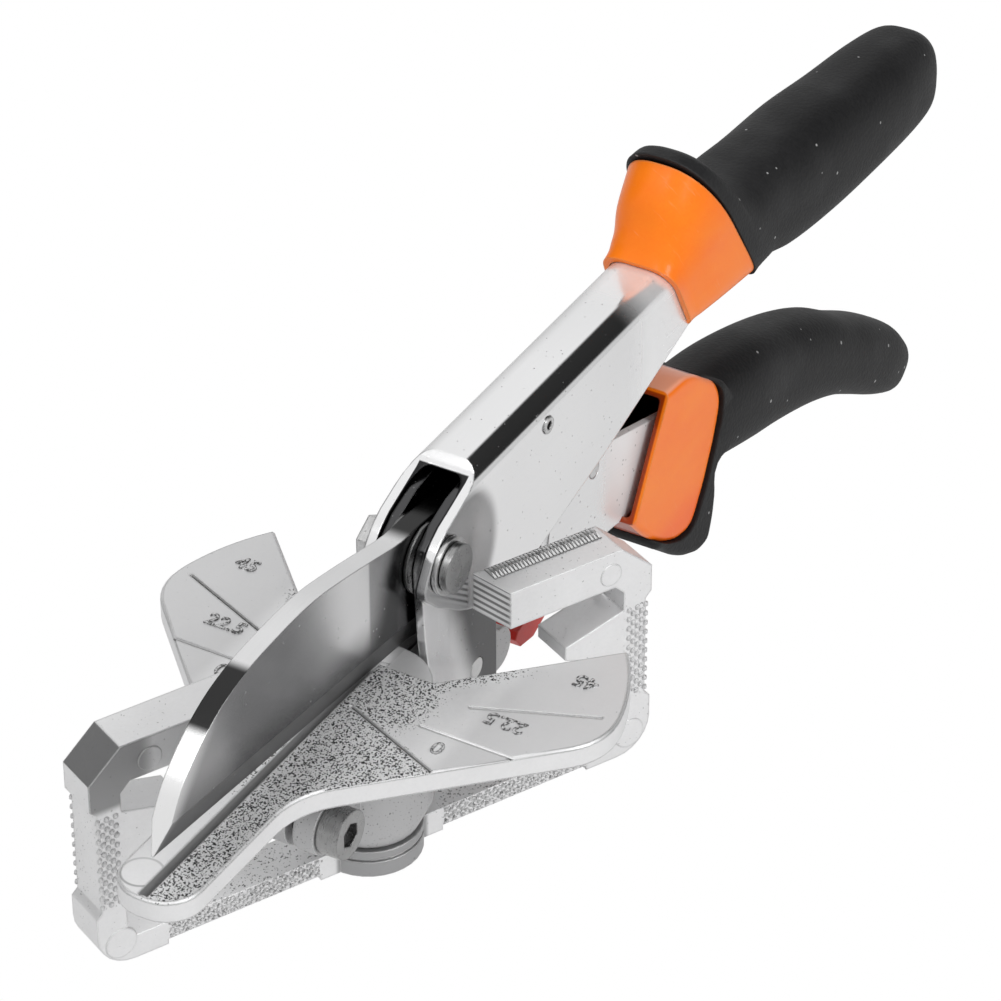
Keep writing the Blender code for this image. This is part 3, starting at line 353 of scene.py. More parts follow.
shade = (grooves * 0.95).most(slot_side * facing_up.step(0.5, 0.9, 0.62, 0.15)).most(pad_line * 0.5 * top)
skin = (cloud * 0.55 + fine * 0.45).tint(cool(0.72), cool(0.90))
skin = (abs(y).step(0.0200, 0.0240) * top * 0.45).tint(skin, cool(0.52))
# Painted shade: the casting below the platform's rim is darker, where the platform overhangs it
skin = (z.fade(0.0290, 0.0300) * 0.80).tint(skin, cool(0.42))
skin = (pits * 0.96).tint(skin, 0.018)
skin = shade.tint(skin, 0.02)
skin = (edges.step(0.03, 0.07) * edges.fade(0.11, 0.17) * 0.75).tint(skin, 0.08)
finish.varies("Base Color", (edges.step(0.12, 0.22) * 0.8).tint(skin, 0.92))
finish.varies("Roughness", fine * 0.16 + coarse * 0.14 + 0.34)
finish.bumps(fine * 0.30 - pits * 1.1, 0.00009, 0.8, rounded)
finish.onto(anvil)


# Dial numbers: raised with the casting on both wings and read from the nose, speckled dark and darkest along
# their edges. Plain angles only
def settled(name, parts, body):
    """Joins meshes, with the material that they carry, into one piece that rides on a body."""
    joined = bmesh.new()
    carried = list(parts[0].materials)
    for part in parts:
        joined.from_mesh(part)
        bpy.data.meshes.remove(part)
    piece = bpy.data.objects.new(name, as_mesh(name, joined))
    for material in carried:
        piece.data.materials.append(material)
    scene.collection.objects.link(piece)
    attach(piece, body)
    return piece


figure_size, figure_half_height, dial_top = 0.0042, 0.00014, 0.03508
figures = []
for side in (-1, 1):
    for words, x, y in (("45", 0.0150, 0.0320), ("22.5", -0.0006, 0.0262), ("0", -0.0114, 0.0202)):
        text = bpy.data.curves.new("figure", "FONT")
        text.body = words
        text.size = figure_size
        text.extrude = figure_half_height
        text.offset = 0.00005
        text.align_x = "CENTER"
        text.align_y = "CENTER"
        holder = bpy.data.objects.new("figure", text)
        scene.collection.objects.link(holder)
        figure = evaluated(holder)
        figure.transform(Matrix.Translation((x, side * y, dial_top)) @ Matrix.Rotation(-side * pi / 2, 4, "Z"))
        figures.append(figure)
numbers = settled("dial_numbers", figures, "upper_tool")
finish = Finish("dial_number_relief", Metallic=0.5)
grain = finish.place.noise(2400.0, 2.0)
rounded, edges = finish.worn_edges(0.0003)
finish.varies("Base Color", (grain + edges * 0.5).step(0.46, 0.58).tint(cool(0.66), 0.10))
finish.varies("Roughness", grain * 0.2 + 0.36)
finish.bumps(grain * 0.6, 0.00008, 0.7, rounded)
finish.onto(numbers)


# Fence: a die-cast frame that swivels under the anvil, two posts and two arms on a rail with the hub in its
# middle. Finer pits than the anvil's, painted shade on the front where the far arm turns into its post and on
# the hub under the anvil, and tool lines on the arms' ends
fence = smoothed("fence_frame", 26)
finish = Finish("fence_casting", Metallic=0.55)
x, y, z = finish.place.parts()
along = x * 0.8965 - y * 0.4431
across = x * 0.4431 + y * 0.8965
facing_up = finish.facing()[2]
fine = finish.place.noise(1500.0, 3.0, 0.6)
maze = finish.place.noise(2500.0, 1.0, 0.5)
cloud = finish.place.noise(110.0, 3.0)
front = across.fade(-0.0039, -0.0036)
# Painted shade: the front of the far arm where it turns into its post, and its chamfer, darkened
corner = along.fade(-0.0440, -0.0395) * z.step(0.0305, 0.0322) * front
far_arm = along.fade(-0.0360, -0.0200) * z.step(0.0340, 0.0360) * front * 0.30
chamfer = along.fade(-0.0474, -0.0470) * z.step(0.0366, 0.0370) * facing_up.step(0.3, 0.6)
chamfer = chamfer * facing_up.fade(0.85, 0.95)
posts = abs(along).step(0.0462, 0.0475) * z.step(0.0100, 0.0120) * z.fade(0.0305, 0.0320)
rails = z.fade(0.0044, 0.0050) * abs(along).step(0.0112, 0.0120) * abs(along).fade(0.0400, 0.0410)
coarse = posts * 0.20 + rails * 0.70
# Painted shade: the hub darkened where it sits under the anvil
hub = reach(x, y).fade(0.0092, 0.0100) * z.fade(0.0055, 0.0065)
rounded, edges = finish.worn_edges(0.0005)
pits = (maze + (1.0 - coarse) * 0.24 + edges * 0.6).fade(0.445, 0.505)
arm_end = abs(along).fade(0.0250, 0.0254) * z.step(0.0353, 0.0356) * facing_up.fade(0.3, 0.6)
tool_lines = (z * 5200.0).wave().step(-0.2, 0.5) * arm_end
skin = (cloud * 0.55 + fine * 0.45).tint(cool(0.72), cool(0.90))
skin = (hub * 0.95).tint(skin, cool(0.33))
skin = (corner * 0.80).most(far_arm).most(chamfer * 0.90).tint(skin, cool(0.17, 0.002))
skin = (pits * 0.80).most(tool_lines * 0.75).tint(skin, 0.05)
skin = (edges.step(0.03, 0.07) * edges.fade(0.11, 0.17) * 0.60).tint(skin, 0.09)
finish.varies("Base Color", (edges.step(0.12, 0.22) * 0.8).tint(skin, 0.92))
finish.varies("Roughness", fine * 0.16 + coarse * 0.10 + 0.34)
finish.bumps(fine * 0.30 - pits * 0.9 - tool_lines * 1.2, 0.00009, 0.8, rounded)
finish.onto(fence)
fence_casting = finish.material


# Knurled pads: blunt studs in staggered rows, cast on both faces of the fence's posts and rail for the fingers
# that turn it
stud_sizes = {"columns": "Int", "rows": "Int", "column_pitch": "Float", "row_pitch": "Float", "sides": "Int",
              "half_width": "Float", "half_depth": "Float", "height": "Float", "top_share": "Float",
              "finish": "Material"}
studs = bpy.data.node_groups.new("staggered_studs", "GeometryNodeTree")
studs.interface.new_socket("studs", in_out="OUTPUT", socket_type="NodeSocketGeometry")
for name, kind in stud_sizes.items():
    studs.interface.new_socket(name, in_out="INPUT", socket_type="NodeSocket" + kind)
entry = Wire.node(studs, "NodeGroupInput").socket.node
given = {name: Wire(studs, entry.outputs[name]) for name in stud_sizes}
grids = []
for fewer in (0.0, 1.0):
    columns, rows = (given["columns"] - fewer).most(2.0), (given["rows"] - fewer).most(2.0)
    grids.append(Wire.node(studs, "GeometryNodeMeshGrid", sockets={
        "Vertices X": columns, "Size X": (columns - 1.0) * given["column_pitch"],
        "Vertices Y": rows, "Size Y": (rows - 1.0) * given["row_pitch"]}, out="Mesh"))
points = Wire.node(studs, "GeometryNodeJoinGeometry", sockets={"Geometry": grids})
stud = Wire.node(studs, "GeometryNodeMeshCone", sockets={
    "Vertices": given["sides"], "Radius Bottom": 1.0, "Radius Top": given["top_share"], "Depth": 1.0}, out="Mesh")
half_a_side = Wire.node(studs, "ShaderNodeCombineXYZ", sockets={"Z": pi / given["sides"]})
half_a_side = Wire.node(studs, "FunctionNodeEulerToRotation", sockets={"Euler": half_a_side})
stud = Wire.node(studs, "GeometryNodeTransform", sockets={"Geometry": stud, "Rotation": half_a_side})
size = Wire.node(studs, "ShaderNodeCombineXYZ", sockets={
    "X": given["half_width"], "Y": given["half_depth"], "Z": given["height"]})
stud = Wire.node(studs, "GeometryNodeTransform", sockets={"Geometry": stud, "Scale": size})
spread = Wire.node(studs, "GeometryNodeInstanceOnPoints", sockets={"Points": points, "Instance": stud})
real = Wire.node(studs, "GeometryNodeRealizeInstances", sockets={"Geometry": spread})
made = Wire.node(studs, "GeometryNodeSetMaterial", sockets={"Geometry": real, "Material": given["finish"]})
Wire.node(studs, "NodeGroupOutput", sockets={"studs": made})


def studded(place, **sizes):
    """A patch of studs as a plain mesh in its place. It takes every size that the tree asks for, by its name."""
    holder = bpy.data.objects.new("studs", bpy.data.meshes.new("studs"))
    scene.collection.objects.link(holder)
    maker = holder.modifiers.new("studs", "NODES")
    maker.node_group = studs
    for item in studs.interface.items_tree:
        if item.in_out == "INPUT":
            maker[item.identifier] = sizes[item.name]
    mesh = evaluated(holder)
    mesh.materials.pop(index=0)  # the empty slot that Set Material leaves before its own
    mesh.transform(place)
    return mesh


fence_turn = Matrix.Rotation(radians(-26.3), 4, "Z")
fence_face = 0.00402
pads = []
for face in (-1, 1):
    outwards = Matrix.Rotation(-face * pi / 2, 4, "X")
    for side in (-1, 1):
        post = fence_turn @ Matrix.Translation((side * 0.0503, face * fence_face, 0.0212)) @ outwards
        pads.append(studded(post, columns=3, rows=10, column_pitch=0.00165, row_pitch=0.00190, sides=8,
                            half_width=0.00052, half_depth=0.00060, height=0.00040, top_share=0.45,
                            finish=fence_casting))
        rail = fence_turn @ Matrix.Translation((side * 0.0261, face * fence_face, 0.0028)) @ outwards
        pads.append(studded(rail, columns=18, rows=3, column_pitch=0.00160, row_pitch=0.00130, sides=8,
                            half_width=0.00050, half_depth=0.00042, height=0.00034, top_share=0.45,
                            finish=fence_casting))
settled("fence_knurl", pads, "fence")


# Thumb ridges: narrow cast ribs across the back half of the near arm's top, bright on their crests and painted
# black with shade on their sides and between them. The grids hold two rows at least, so each rib is laid twice,
# a hundredth of a millimetre apart
finish = Finish("ridge_casting", Metallic=0.55)
grain = finish.place.noise(1500.0, 2.0)
height = finish.place.parts()[2]
# Painted shade: below the ribs' crests everything is black, on their sides and between them
crest_above_painted_shade = (height + (grain - 0.5) * 0.0001).step(0.04266, 0.04286)
finish.varies("Base Color", crest_above_painted_shade.tint(0.03, 0.92))
finish.varies("Roughness", grain * 0.2 + 0.34)
finish.bumps(grain, 0.00006, 0.6)
ridge_place = fence_turn @ Matrix.Translation((0.0357, 0.0022, 0.0427))
ribs = studded(ridge_place, columns=16, rows=2, column_pitch=0.00136, row_pitch=0.00001, sides=4,
               half_width=0.00040, half_depth=0.00235, height=0.00050, top_share=0.20, finish=finish.material)
settled("fence_ridges", [ribs], "fence")


# Ejector marks: thin round discs left proud by the mould's pins on the fence's front, each with a narrow step
# around it
mark_depth = 0.00036
discs = []
for along, height, radius in ((-0.0421, 0.0384, 0.0023), (0.0449, 0.0384, 0.0022),
                              (-0.0490, 0.0042, 0.0030), (0.0490, 0.0042, 0.0030)):
    shape = bmesh.new()
    at = fence_turn @ Matrix.Translation((along, -0.0040, height)) @ Matrix.Rotation(pi / 2, 4, "X")
    bmesh.ops.create_cone(shape, cap_ends=True, segments=48, radius1=radius, radius2=radius * 0.93,
                          depth=mark_depth, matrix=at)
    disc = as_mesh("disc", shape)
    disc.materials.append(fence_casting)
    discs.append(disc)
settled("fence_ejector_marks", discs, "fence")


# Clamp screw and nut, and the swivel pin: the socket-head screw draws the split boss tight on the steel pin that
# the fence's hub carries. The screw has a dark skin, the nut and the pin are zinc plated
def turned_steel(name, roughness, shade):
    """Turned or drawn steel: faint tool rings in a cloudy skin, dust, and a dark line beside bright corners."""
    finish = Finish(name, Metallic=1.0)
    rings = finish.place.scaled(420, 2600, 420).noise(1.0, 3.0, 0.7)
    cloud = finish.place.noise(420.0, 2.0)
    dust = finish.place.cells(900.0).fade(0.08, 0.18)
    rounded, edges = finish.worn_edges(0.0004)
    skin = (rings * 0.6 + cloud * 0.4).tint(shade * 0.70, shade * 1.30)
    skin = (edges.step(0.02, 0.06) * edges.fade(0.12, 0.2) * 0.6).tint(skin, 0.05)
    finish.varies("Base Color", (dust * 0.5).tint(skin, 0.12))
    finish.varies("Roughness", rings * 0.12 + edges * 0.5 + dust * 0.2 + (roughness - 0.04))
    finish.bumps(cloud * 0.6 + rings * 0.10, 0.00010, 0.5, rounded)
    return finish


dark_hardware = turned_steel("dark_hardware", 0.26, 0.34)
plated_hardware = turned_steel("plated_hardware", 0.22, 0.62)
dark_hardware.onto(smoothed("clamp_screw", 30))
plated_hardware.onto(smoothed("swivel_pin", 30), nodes["clamp_nut"])


# Cheeks and their pins: two ground steel plates nested in the upper lever's ears, pinned to the anvil's root.
# Painted reflection: bright in front, dark towards the rear and along the top, with fine upright grinding marks
cheeks = [smoothed("cheek_near", 26), smoothed("cheek_far", 26)]
finish = Finish("cheek_ground", Metallic=1.0)
x, y, z = finish.place.parts()
grind = finish.place.scaled(2600, 2600, 70).noise(1.0, 4.0, 0.7)
cloud = finish.place.noise(70.0, 2.0)
# Painted reflection: the plates darken towards the rear and along the top
painted_dark_reflection = (x - (0.0363 - z) * 0.303 + (cloud - 0.5) * 0.004).step(0.0165, 0.0240)
dust = finish.place.cells(640.0).fade(0.08, 0.15)
rounded, edges = finish.worn_edges(0.0004)
skin = (grind * 0.4 + cloud * 0.6).tint(cool(0.80), cool(0.97))
skin = (painted_dark_reflection.most(z.step(0.0480, 0.0520)) * 0.95).tint(skin, cool(0.045, 0.002))
finish.varies("Base Color", (dust * 0.5).tint(skin, 0.30))
finish.varies("Roughness", grind * 0.10 + edges * 0.5 + dust * 0.2 + 0.14)
finish.bumps(cloud * 0.8 + grind * 0.03, 0.00010, 0.4, rounded)
finish.onto(*cheeks)
plated_hardware.onto(nodes["anvil_pin_front"], nodes["anvil_pin_rear"])


# Upper channel: the upper lever's body, bright plated sheet folded to a U that opens downwards, with a hollow
# roll pin through it. Faint rolling waves, hairlines and dust, painted shade inside, darker round the pivot
upper_channel = smoothed("upper_channel", 30)
finish = Finish("upper_channel_plated", Metallic=1.0)
x, y, z = finish.place.parts()
hairlines = finish.place.turned(0, -1.1, 0).scaled(50, 2600, 2600).noise(1.0, 4.0, 0.7)
waves = finish.place.noise(38.0, 1.0)
dust = (finish.place.cells(620.0) + finish.place.noise(400.0) * 0.1).fade(0.10, 0.16)
# Painted shade: the inside of the U is nearly black
inside = abs(y).fade(0.00456, 0.00466) * (z - (x - 0.015) * 0.0198).fade(0.05930, 0.05945)
from_pivot = reach(x - 0.0180, z - 0.0470)
dark_round_pivot = from_pivot.fade(0.0112, 0.0142) * from_pivot.step(0.0050, 0.0125, 0.62, 1.0)
dark_round_pivot = dark_round_pivot * abs(y).step(0.0060, 0.0062)
greyer = (x - (0.0620 - z) * 0.5).step(0.045, 0.115)
rounded, edges = finish.worn_edges(0.0004)
skin = (hairlines * 0.35 + waves * 0.65).tint(cool(0.84), cool(0.95))
skin = (greyer * 0.5).tint(skin, cool(0.74))
skin = (dark_round_pivot * 0.80).tint(skin, cool(0.30))
skin = (dust * 0.6).tint(skin, 0.10)
finish.varies("Base Color", inside.tint(skin, cool(0.030, 0.001)))
finish.varies("Metallic", 1.0 - x.step(0.0740, 0.0850) * 0.55)
finish.varies("Roughness", hairlines * 0.07 + edges * 0.5 + dust * 0.3 + dark_round_pivot * 0.12 + inside * 0.25
              + x.step(0.0780, 0.0900) * 0.16 + 0.07)
finish.bumps(waves * 1.2 + hairlines * 0.015, 0.00012, 0.4, rounded)
finish.onto(upper_channel)
plated_hardware.onto(smoothed("channel_pin", 30))


# Collar: an orange moulded sleeve slid on the upper channel, whose thin lip hugs the sheet and which swells back
# to meet the grip
pivot_x, pivot_z, lever_length = 0.015, 0.049, 0.2


def on_lever(x, z):
    """A point of the levers' middle plane, given as shares of their length from the jaw's pivot."""
    return Vector((pivot_x + x * lever_length, 0, pivot_z + z * lever_length))


def curved(points, steps):
    """Points on a smooth curve through the given ones, with that many steps between neighbours."""
    spots = [Vector(point) for point in points]
    ways = [(after - before).normalized() for before, after in zip(spots, spots[1:])]
    lengths = [(after - before).length for before, after in zip(spots, spots[1:])]
    tangents = [ways[0]]
    for index in range(1, len(ways)):
        tangents.append((ways[index - 1] * lengths[index] + ways[index] * lengths[index - 1]).normalized())
    tangents.append(ways[-1])
    made = []
    for index, length in enumerate(lengths):
        for step in range(steps):
            t = step / steps
            made.append(spots[index] * (2 * t**3 - 3 * t**2 + 1) + spots[index + 1] * (3 * t**2 - 2 * t**3)
                        + tangents[index] * length * (t**3 - 2 * t**2 + t)
                        + tangents[index + 1] * length * (t**3 - t**2))
    made.append(spots[-1])
    return made


def oval(row, half_width, sides=80):
    """A closed ring through a top and a bottom point. A row holds both points on the lever, the share of the
    width, and how square the ring is above and below, in hundredths, 2 being round."""
    top_x, top_z, bottom_x, bottom_z, width, above, below = row
    top, bottom = on_lever(top_x, top_z), on_lever(bottom_x, bottom_z)
    middle, half = (top + bottom) / 2, (top - bottom) / 2
    ring = []
    for side in range(sides):
        turn = 2 * pi * (side + 0.5) / sides
        power = 0.02 / (above if sin(turn) > 0 else below)
        across = abs(cos(turn)) ** power * (1 if cos(turn) > 0 else -1)
        rise = abs(sin(turn)) ** power * (1 if sin(turn) > 0 else -1)
        ring.append(middle + half * rise + Vector((0, across * width * half_width, 0)))
    return ring


def skinned(rings):
    """A closed mesh through rings of points."""
    shape = bmesh.new()
    loops = [[shape.verts.new(point) for point in ring] for ring in rings]
    for lower, upper in zip(loops, loops[1:]):
        for here in range(len(lower)):
            there = (here + 1) % len(lower)
            shape.faces.new((lower[here], lower[there], upper[there], upper[here]))
    shape.faces.new(loops[0])
    shape.faces.new(loops[-1])
    bmesh.ops.recalc_face_normals(shape, faces=shape.faces)
    return as_mesh("skinned", shape)


def combined(mesh, others):
    """A mesh after other closed meshes are added to it or taken from it."""
    body = bpy.data.objects.new("half_made", mesh)
    scene.collection.objects.link(body)
    tools = []
    for operation, other in others:
        tools.append(bpy.data.objects.new("cutter", other))
        scene.collection.objects.link(tools[-1])
        cut = body.modifiers.new("cut", "BOOLEAN")
        cut.operation, cut.object, cut.solver = operation, tools[-1], "EXACT"
    made = evaluated(body)
    for tool in tools:
        bpy.data.objects.remove(tool)
    return made


def moulded_orange(piece, painted_light_and_shade=None):
    """Glossy orange plastic: flow marks, a fine skin, light scuffs and pale worn edges, and a piece's own painted
    light and shade.
    """
    finish = Finish(piece.name + "_orange", Specular_IOR_Level=0.22, Coat_Weight=0.16, Coat_Roughness=0.08)
    flow = finish.place.scaled(1.0, 1.0, 2.2).noise(70.0, 2.0)
    fine = finish.place.noise(1800.0, 2.0)
    scuffs = finish.place.turned(0, 30, 20).scaled(900, 120, 120).noise(1.0, 3.0, 0.7).step(0.62, 0.75)
    rounded, edges = finish.worn_edges(0.0006)
    skin = (flow * 0.7 + fine * 0.3).tint((0.95, 0.14, 0.002), (1.0, 0.26, 0.006))
    skin = (edges.step(0.04, 0.22) * 0.55).tint(skin, (1.0, 0.50, 0.20))
    if painted_light_and_shade:
        skin = painted_light_and_shade(finish, skin)
    finish.varies("Base Color", (scuffs * 0.15).tint(skin, (1.0, 0.55, 0.30)))
    finish.varies("Roughness", 0.26 + fine * 0.08 + scuffs * 0.14)
    finish.bumps(flow * 1.0 + fine * 0.06, 0.00015, 0.35, rounded)
    finish.onto(piece)


collar_rows = ((0.3690, 0.0720, 0.4075, -0.001, 0.740, 0.040, 0.07),
               (0.3725, 0.0770, 0.4125, -0.001, 0.735, 0.035, 0.07),
               (0.3790, 0.0900, 0.4270, -0.002, 0.760, 0.029, 0.07),
               (0.3900, 0.1230, 0.4620, -0.002, 0.860, 0.026, 0.07),
               (0.4095, 0.1500, 0.5095, -0.002, 0.955, 0.025, 0.07))
collar_half_width = 0.0100
sheet_half_width, sheet_corner, sheet_bottom = 0.00637, 0.0041, 0.0503
sheet_roof, sheet_slope, play = 0.01206, 0.0198, 0.00012
collar_front, passage_end, arch_steps = 0.080, 0.122, 8
gap_half_width, gap_bottom, gap_top, gap_end = 0.0045, 0.040, 0.056, 0.1022
passage = []
for x in (collar_front, passage_end):
    roof = pivot_z + sheet_roof + sheet_slope * (x - pivot_x) + play
    arch = [(sheet_half_width - sheet_corner * (1 - cos(pi / 2 * step / arch_steps)),
             roof - sheet_corner * (1 - sin(pi / 2 * step / arch_steps))) for step in range(arch_steps + 1)]
    half_arch = [(sheet_half_width, sheet_bottom)] + arch
    passage.append([Vector((x, y, z)) for y, z in half_arch + [(-y, z) for y, z in reversed(half_arch)]])
open_below = [[Vector((x, y, z)) for y, z in ((-gap_half_width, gap_bottom), (gap_half_width, gap_bottom),
                                              (gap_half_width, gap_top), (-gap_half_width, gap_top))]
              for x in (collar_front, gap_end)]
collar_mesh = combined(skinned([oval(row, collar_half_width) for row in curved(collar_rows, 7)]),
                       [("DIFFERENCE", skinned(passage)), ("DIFFERENCE", skinned(open_below))])
moulded_orange(in_place_of("upper_collar", collar_mesh, "collar_sleeve", 40))


# Upper grip: soft black rubber moulded over the upper lever, with a flared front that stops the hand. Matt and
# finely pebbled, with rubbed patches and specks of dust
def moulded_rubber(piece):
    """Matt black rubber: fine pebbles, mottling, rubbed patches, specks of dust and greyed edges."""
    finish = Finish(piece.name + "_rubber", Specular_IOR_Level=0.22)
    pebble = finish.place.cells(1300.0)
    mottle = finish.place.noise(800.0, 4.0, 0.7)
    rubbed = finish.place.noise(48.0, 3.0).step(0.45, 0.72)
    dust = (finish.place.cells(240.0) + finish.place.noise(500.0) * 0.10).fade(0.10, 0.13)
    rounded, edges = finish.worn_edges(0.0007)
    skin = (mottle * 0.6 + rubbed * 0.4).tint((0.004, 0.004, 0.0045), (0.026, 0.026, 0.027))
    skin = (edges.step(0.05, 0.2) * 0.4).tint(skin, 0.07)
    finish.varies("Base Color", (dust * 0.7).tint(skin, 0.50))
    finish.varies("Roughness", 0.48 + mottle * 0.18 - rubbed * 0.06)
    finish.bumps(pebble * 0.8 + mottle * 0.6, 0.00012, 0.5, rounded)
    finish.onto(piece)


upper_rows = ((0.4080, 0.1576, 0.5130, -0.0075, 0.98), (0.4260, 0.1560, 0.5230, -0.0085, 0.98),
              (0.4550, 0.1225, 0.5375, -0.0105, 0.97), (0.4900, 0.0965, 0.5575, -0.0140, 0.96),
              (0.5650, 0.0840, 0.5900, -0.0235, 0.96), (0.6715, 0.0780, 0.6795, -0.0350, 0.95),
              (0.7465, 0.0680, 0.7540, -0.0385, 0.92), (0.8220, 0.0605, 0.8290, -0.0405, 0.87),
              (0.8680, 0.0540, 0.8720, -0.0400, 0.79), (0.8920, 0.0440, 0.8910, -0.0320, 0.65),
              (0.9020, 0.0330, 0.9000, -0.0200, 0.42))
upper_half_width, square_above, square_below = 0.0100, 0.025, 0.03
squarer_front, squarer_rings = 0.03, 18
upper_rings = [oval((*row, square_above, square_below + squarer_front * max(0, 1 - index / squarer_rings)),
                    upper_half_width) for index, row in enumerate(curved(upper_rows, 6))]
moulded_rubber(in_place_of("upper_grip", skinned(upper_rings), "upper_grip_sleeve", 50))


# Blade and its washers: hardened flat steel, ground to a cutting bevel, its tang running back between the levers
# with a washer on each side at the pivot. Polished flats with painted reflections: dark, darker near the edge,
# with lighter fields and a near-black root; a bright spine painted white towards the tip, dark along one stretch
# and towards the pivot
blade = smoothed("blade", 24)
finish = Finish("blade_ground", Metallic=1.0)
x, y, z = finish.place.parts()
facing_side = abs(finish.facing()[1])
brush = finish.place.turned(0, 4, 0).scaled(110, 2600, 2600).noise(1.0, 3.0, 0.6)
cloud = finish.place.noise(60.0, 2.0)
drift = (cloud - 0.5) * 0.006
above_edge = z - (x + 0.0616) * -0.092 - 0.0403
bevel_band = above_edge.fade(0.0047, 0.0051) * facing_side.step(0.5, 0.7)
spine = facing_side.fade(0.3, 0.6)
lit = (x + drift).step(-0.027, -0.006) * x.fade(-0.0016, -0.0008) * (z + drift).step(0.0395, 0.0480)
point_lit = ((x + 0.061) * 0.73 - (z - 0.042) * 0.684 + drift * 0.3).fade(-0.0016, 0.0028)
point_lit = point_lit * x.fade(-0.0470, -0.0440)
root = ((x - 0.0005) + (0.0530 - z) * 0.45 + drift).step(0.0000, 0.0080)
dust = (finish.place.cells(420.0) + finish.place.noise(300.0) * 0.1).fade(0.09, 0.14)
rounded, edges = finish.worn_edges(0.0003)
# Painted reflections on the flats: a dark base, darker near the edge, lighter fields and a near-black root
flat = (cloud * 0.6 + brush * 0.4).tint(cool(0.24, 0.004), cool(0.42))
flat = (above_edge.fade(0.0040, 0.0120) * 0.75).tint(flat, cool(0.13, 0.002))
flat = (lit * 0.95).most(point_lit * 0.75).tint(flat, cool(0.76))
flat = (root * 0.92).tint(flat, cool(0.018, 0.001))
flat = (dust * 0.6).tint(flat, 0.60)
flat = (bevel_band * 0.20).tint(flat, cool(0.50))
dark_stretch = x.step(-0.0490, -0.0474) * x.fade(-0.0372, -0.0350)
# Painted reflection: the spine is white towards the tip. It is dark along one stretch and towards the pivot
back = (brush * 0.3 + cloud * 0.7).tint(cool(0.66), cool(0.90))
back = (x.fade(-0.0500, -0.0470) * 0.8).tint(back, 1.0)
back = (dark_stretch * 0.96).most(x.step(0.0080, 0.0120) * 0.96).tint(back, 0.012)
finish.varies("Base Color", spine.tint((edges.step(0.03, 0.15) * 0.8).tint(flat, 0.80), back))
finish.varies("Roughness", brush * 0.12 + 0.18 + bevel_band * 0.14 + dust * 0.2)
finish.bumps(brush * 0.15 + cloud * 0.6, 0.00008, 0.4, rounded)
finish.onto(blade)
oily_hardware = turned_steel("oily_hardware", 0.24, 0.20)
oily_hardware.onto(smoothed("blade_washer_near", 30), smoothed("blade_washer_far", 30))


# Pivot: a turned bolt with a plain head on the near side, a washer and a plated nut on the far side, through
# ears, cheeks, washers and blade
dark_hardware.onto(smoothed("pivot_bolt", 30))
plated_hardware.onto(smoothed("pivot_washer", 30), nodes["pivot_nut"])


# Lower channel: the lower lever's body, the same plated sheet folded to a U that opens upwards, riveted to the
# blade's tang. Duller, with long drawing marks, painted shade inside, and ended inside the grip
channel_end = 0.1030
shape = welded("lower_channel")
cut = bmesh.ops.bisect_plane(shape, geom=shape.verts[:] + shape.edges[:] + shape.faces[:], dist=0.0000001,
                             plane_co=(channel_end, 0, 0), plane_no=(1, 0, 0), clear_outer=True)
bmesh.ops.edgenet_fill(shape, edges=[item for item in cut["geom_cut"] if isinstance(item, bmesh.types.BMEdge)])
bmesh.ops.recalc_face_normals(shape, faces=shape.faces)
lower_channel = in_place_of("lower_channel", as_mesh("lower_channel", shape), "lower_channel_smooth", 30)
finish = Finish("lower_channel_plated", Metallic=1.0)
x, y, z = finish.place.parts()
hairlines = finish.place.turned(0, -12, 0).scaled(45, 2400, 2400).noise(1.0, 4.0, 0.7)
waves = finish.place.noise(45.0, 1.0)
dust = finish.place.cells(560.0).fade(0.08, 0.15)
# Painted shade: the inside of the U is dark
inside = abs(y).fade(0.00275, 0.00290)
rounded, edges = finish.worn_edges(0.0004)
skin = (hairlines * 0.5 + waves * 0.5).tint(cool(0.80), cool(0.93))
skin = (dust * 0.5).tint(skin, 0.12)
finish.varies("Base Color", inside.tint(skin, 0.05))
finish.varies("Metallic", 1.0 - x.step(0.0680, 0.0790) * (1.0 - inside) * 0.75)
finish.varies("Roughness", hairlines * 0.08 + edges * 0.5 + dust * 0.3 + x.step(0.0640, 0.0800) * 0.42 + 0.05)
finish.bumps(waves * 1.0 + hairlines * 0.02, 0.00012, 0.4, rounded)
finish.onto(lower_channel)
plated_hardware.onto(nodes["tang_rivet_front"], nodes["tang_rivet_rear"])


# Return spring and its seat: a coil of drawn wire that pushes the levers apart, on a plated seat in the lower
# channel. It runs from its top under the upper channel to its seat, on neither lever's body
spring_top, spring_foot = (0.064, 0, 0.0595), (0.064, 0, 0.0440)
spring = smoothed("return_spring", 60, ("upper_tool", "lower_tool", spring_top, spring_foot))
turned_steel("spring_wire", 0.24, 0.50).onto(spring)
plated_hardware.onto(nodes["spring_seat"])


# Guard: a deep orange cup moulded around the lower channel, open in front, with thin walls. Its top is painted
# paler with light, its foot painted a darker red with shade, and the inside of its mouth painted dark red with
# shade
def side_points(shares):
    """A side outline, in X and Z, through points on the lever."""
    return [on_lever(x, z).xz for x, z in shares]


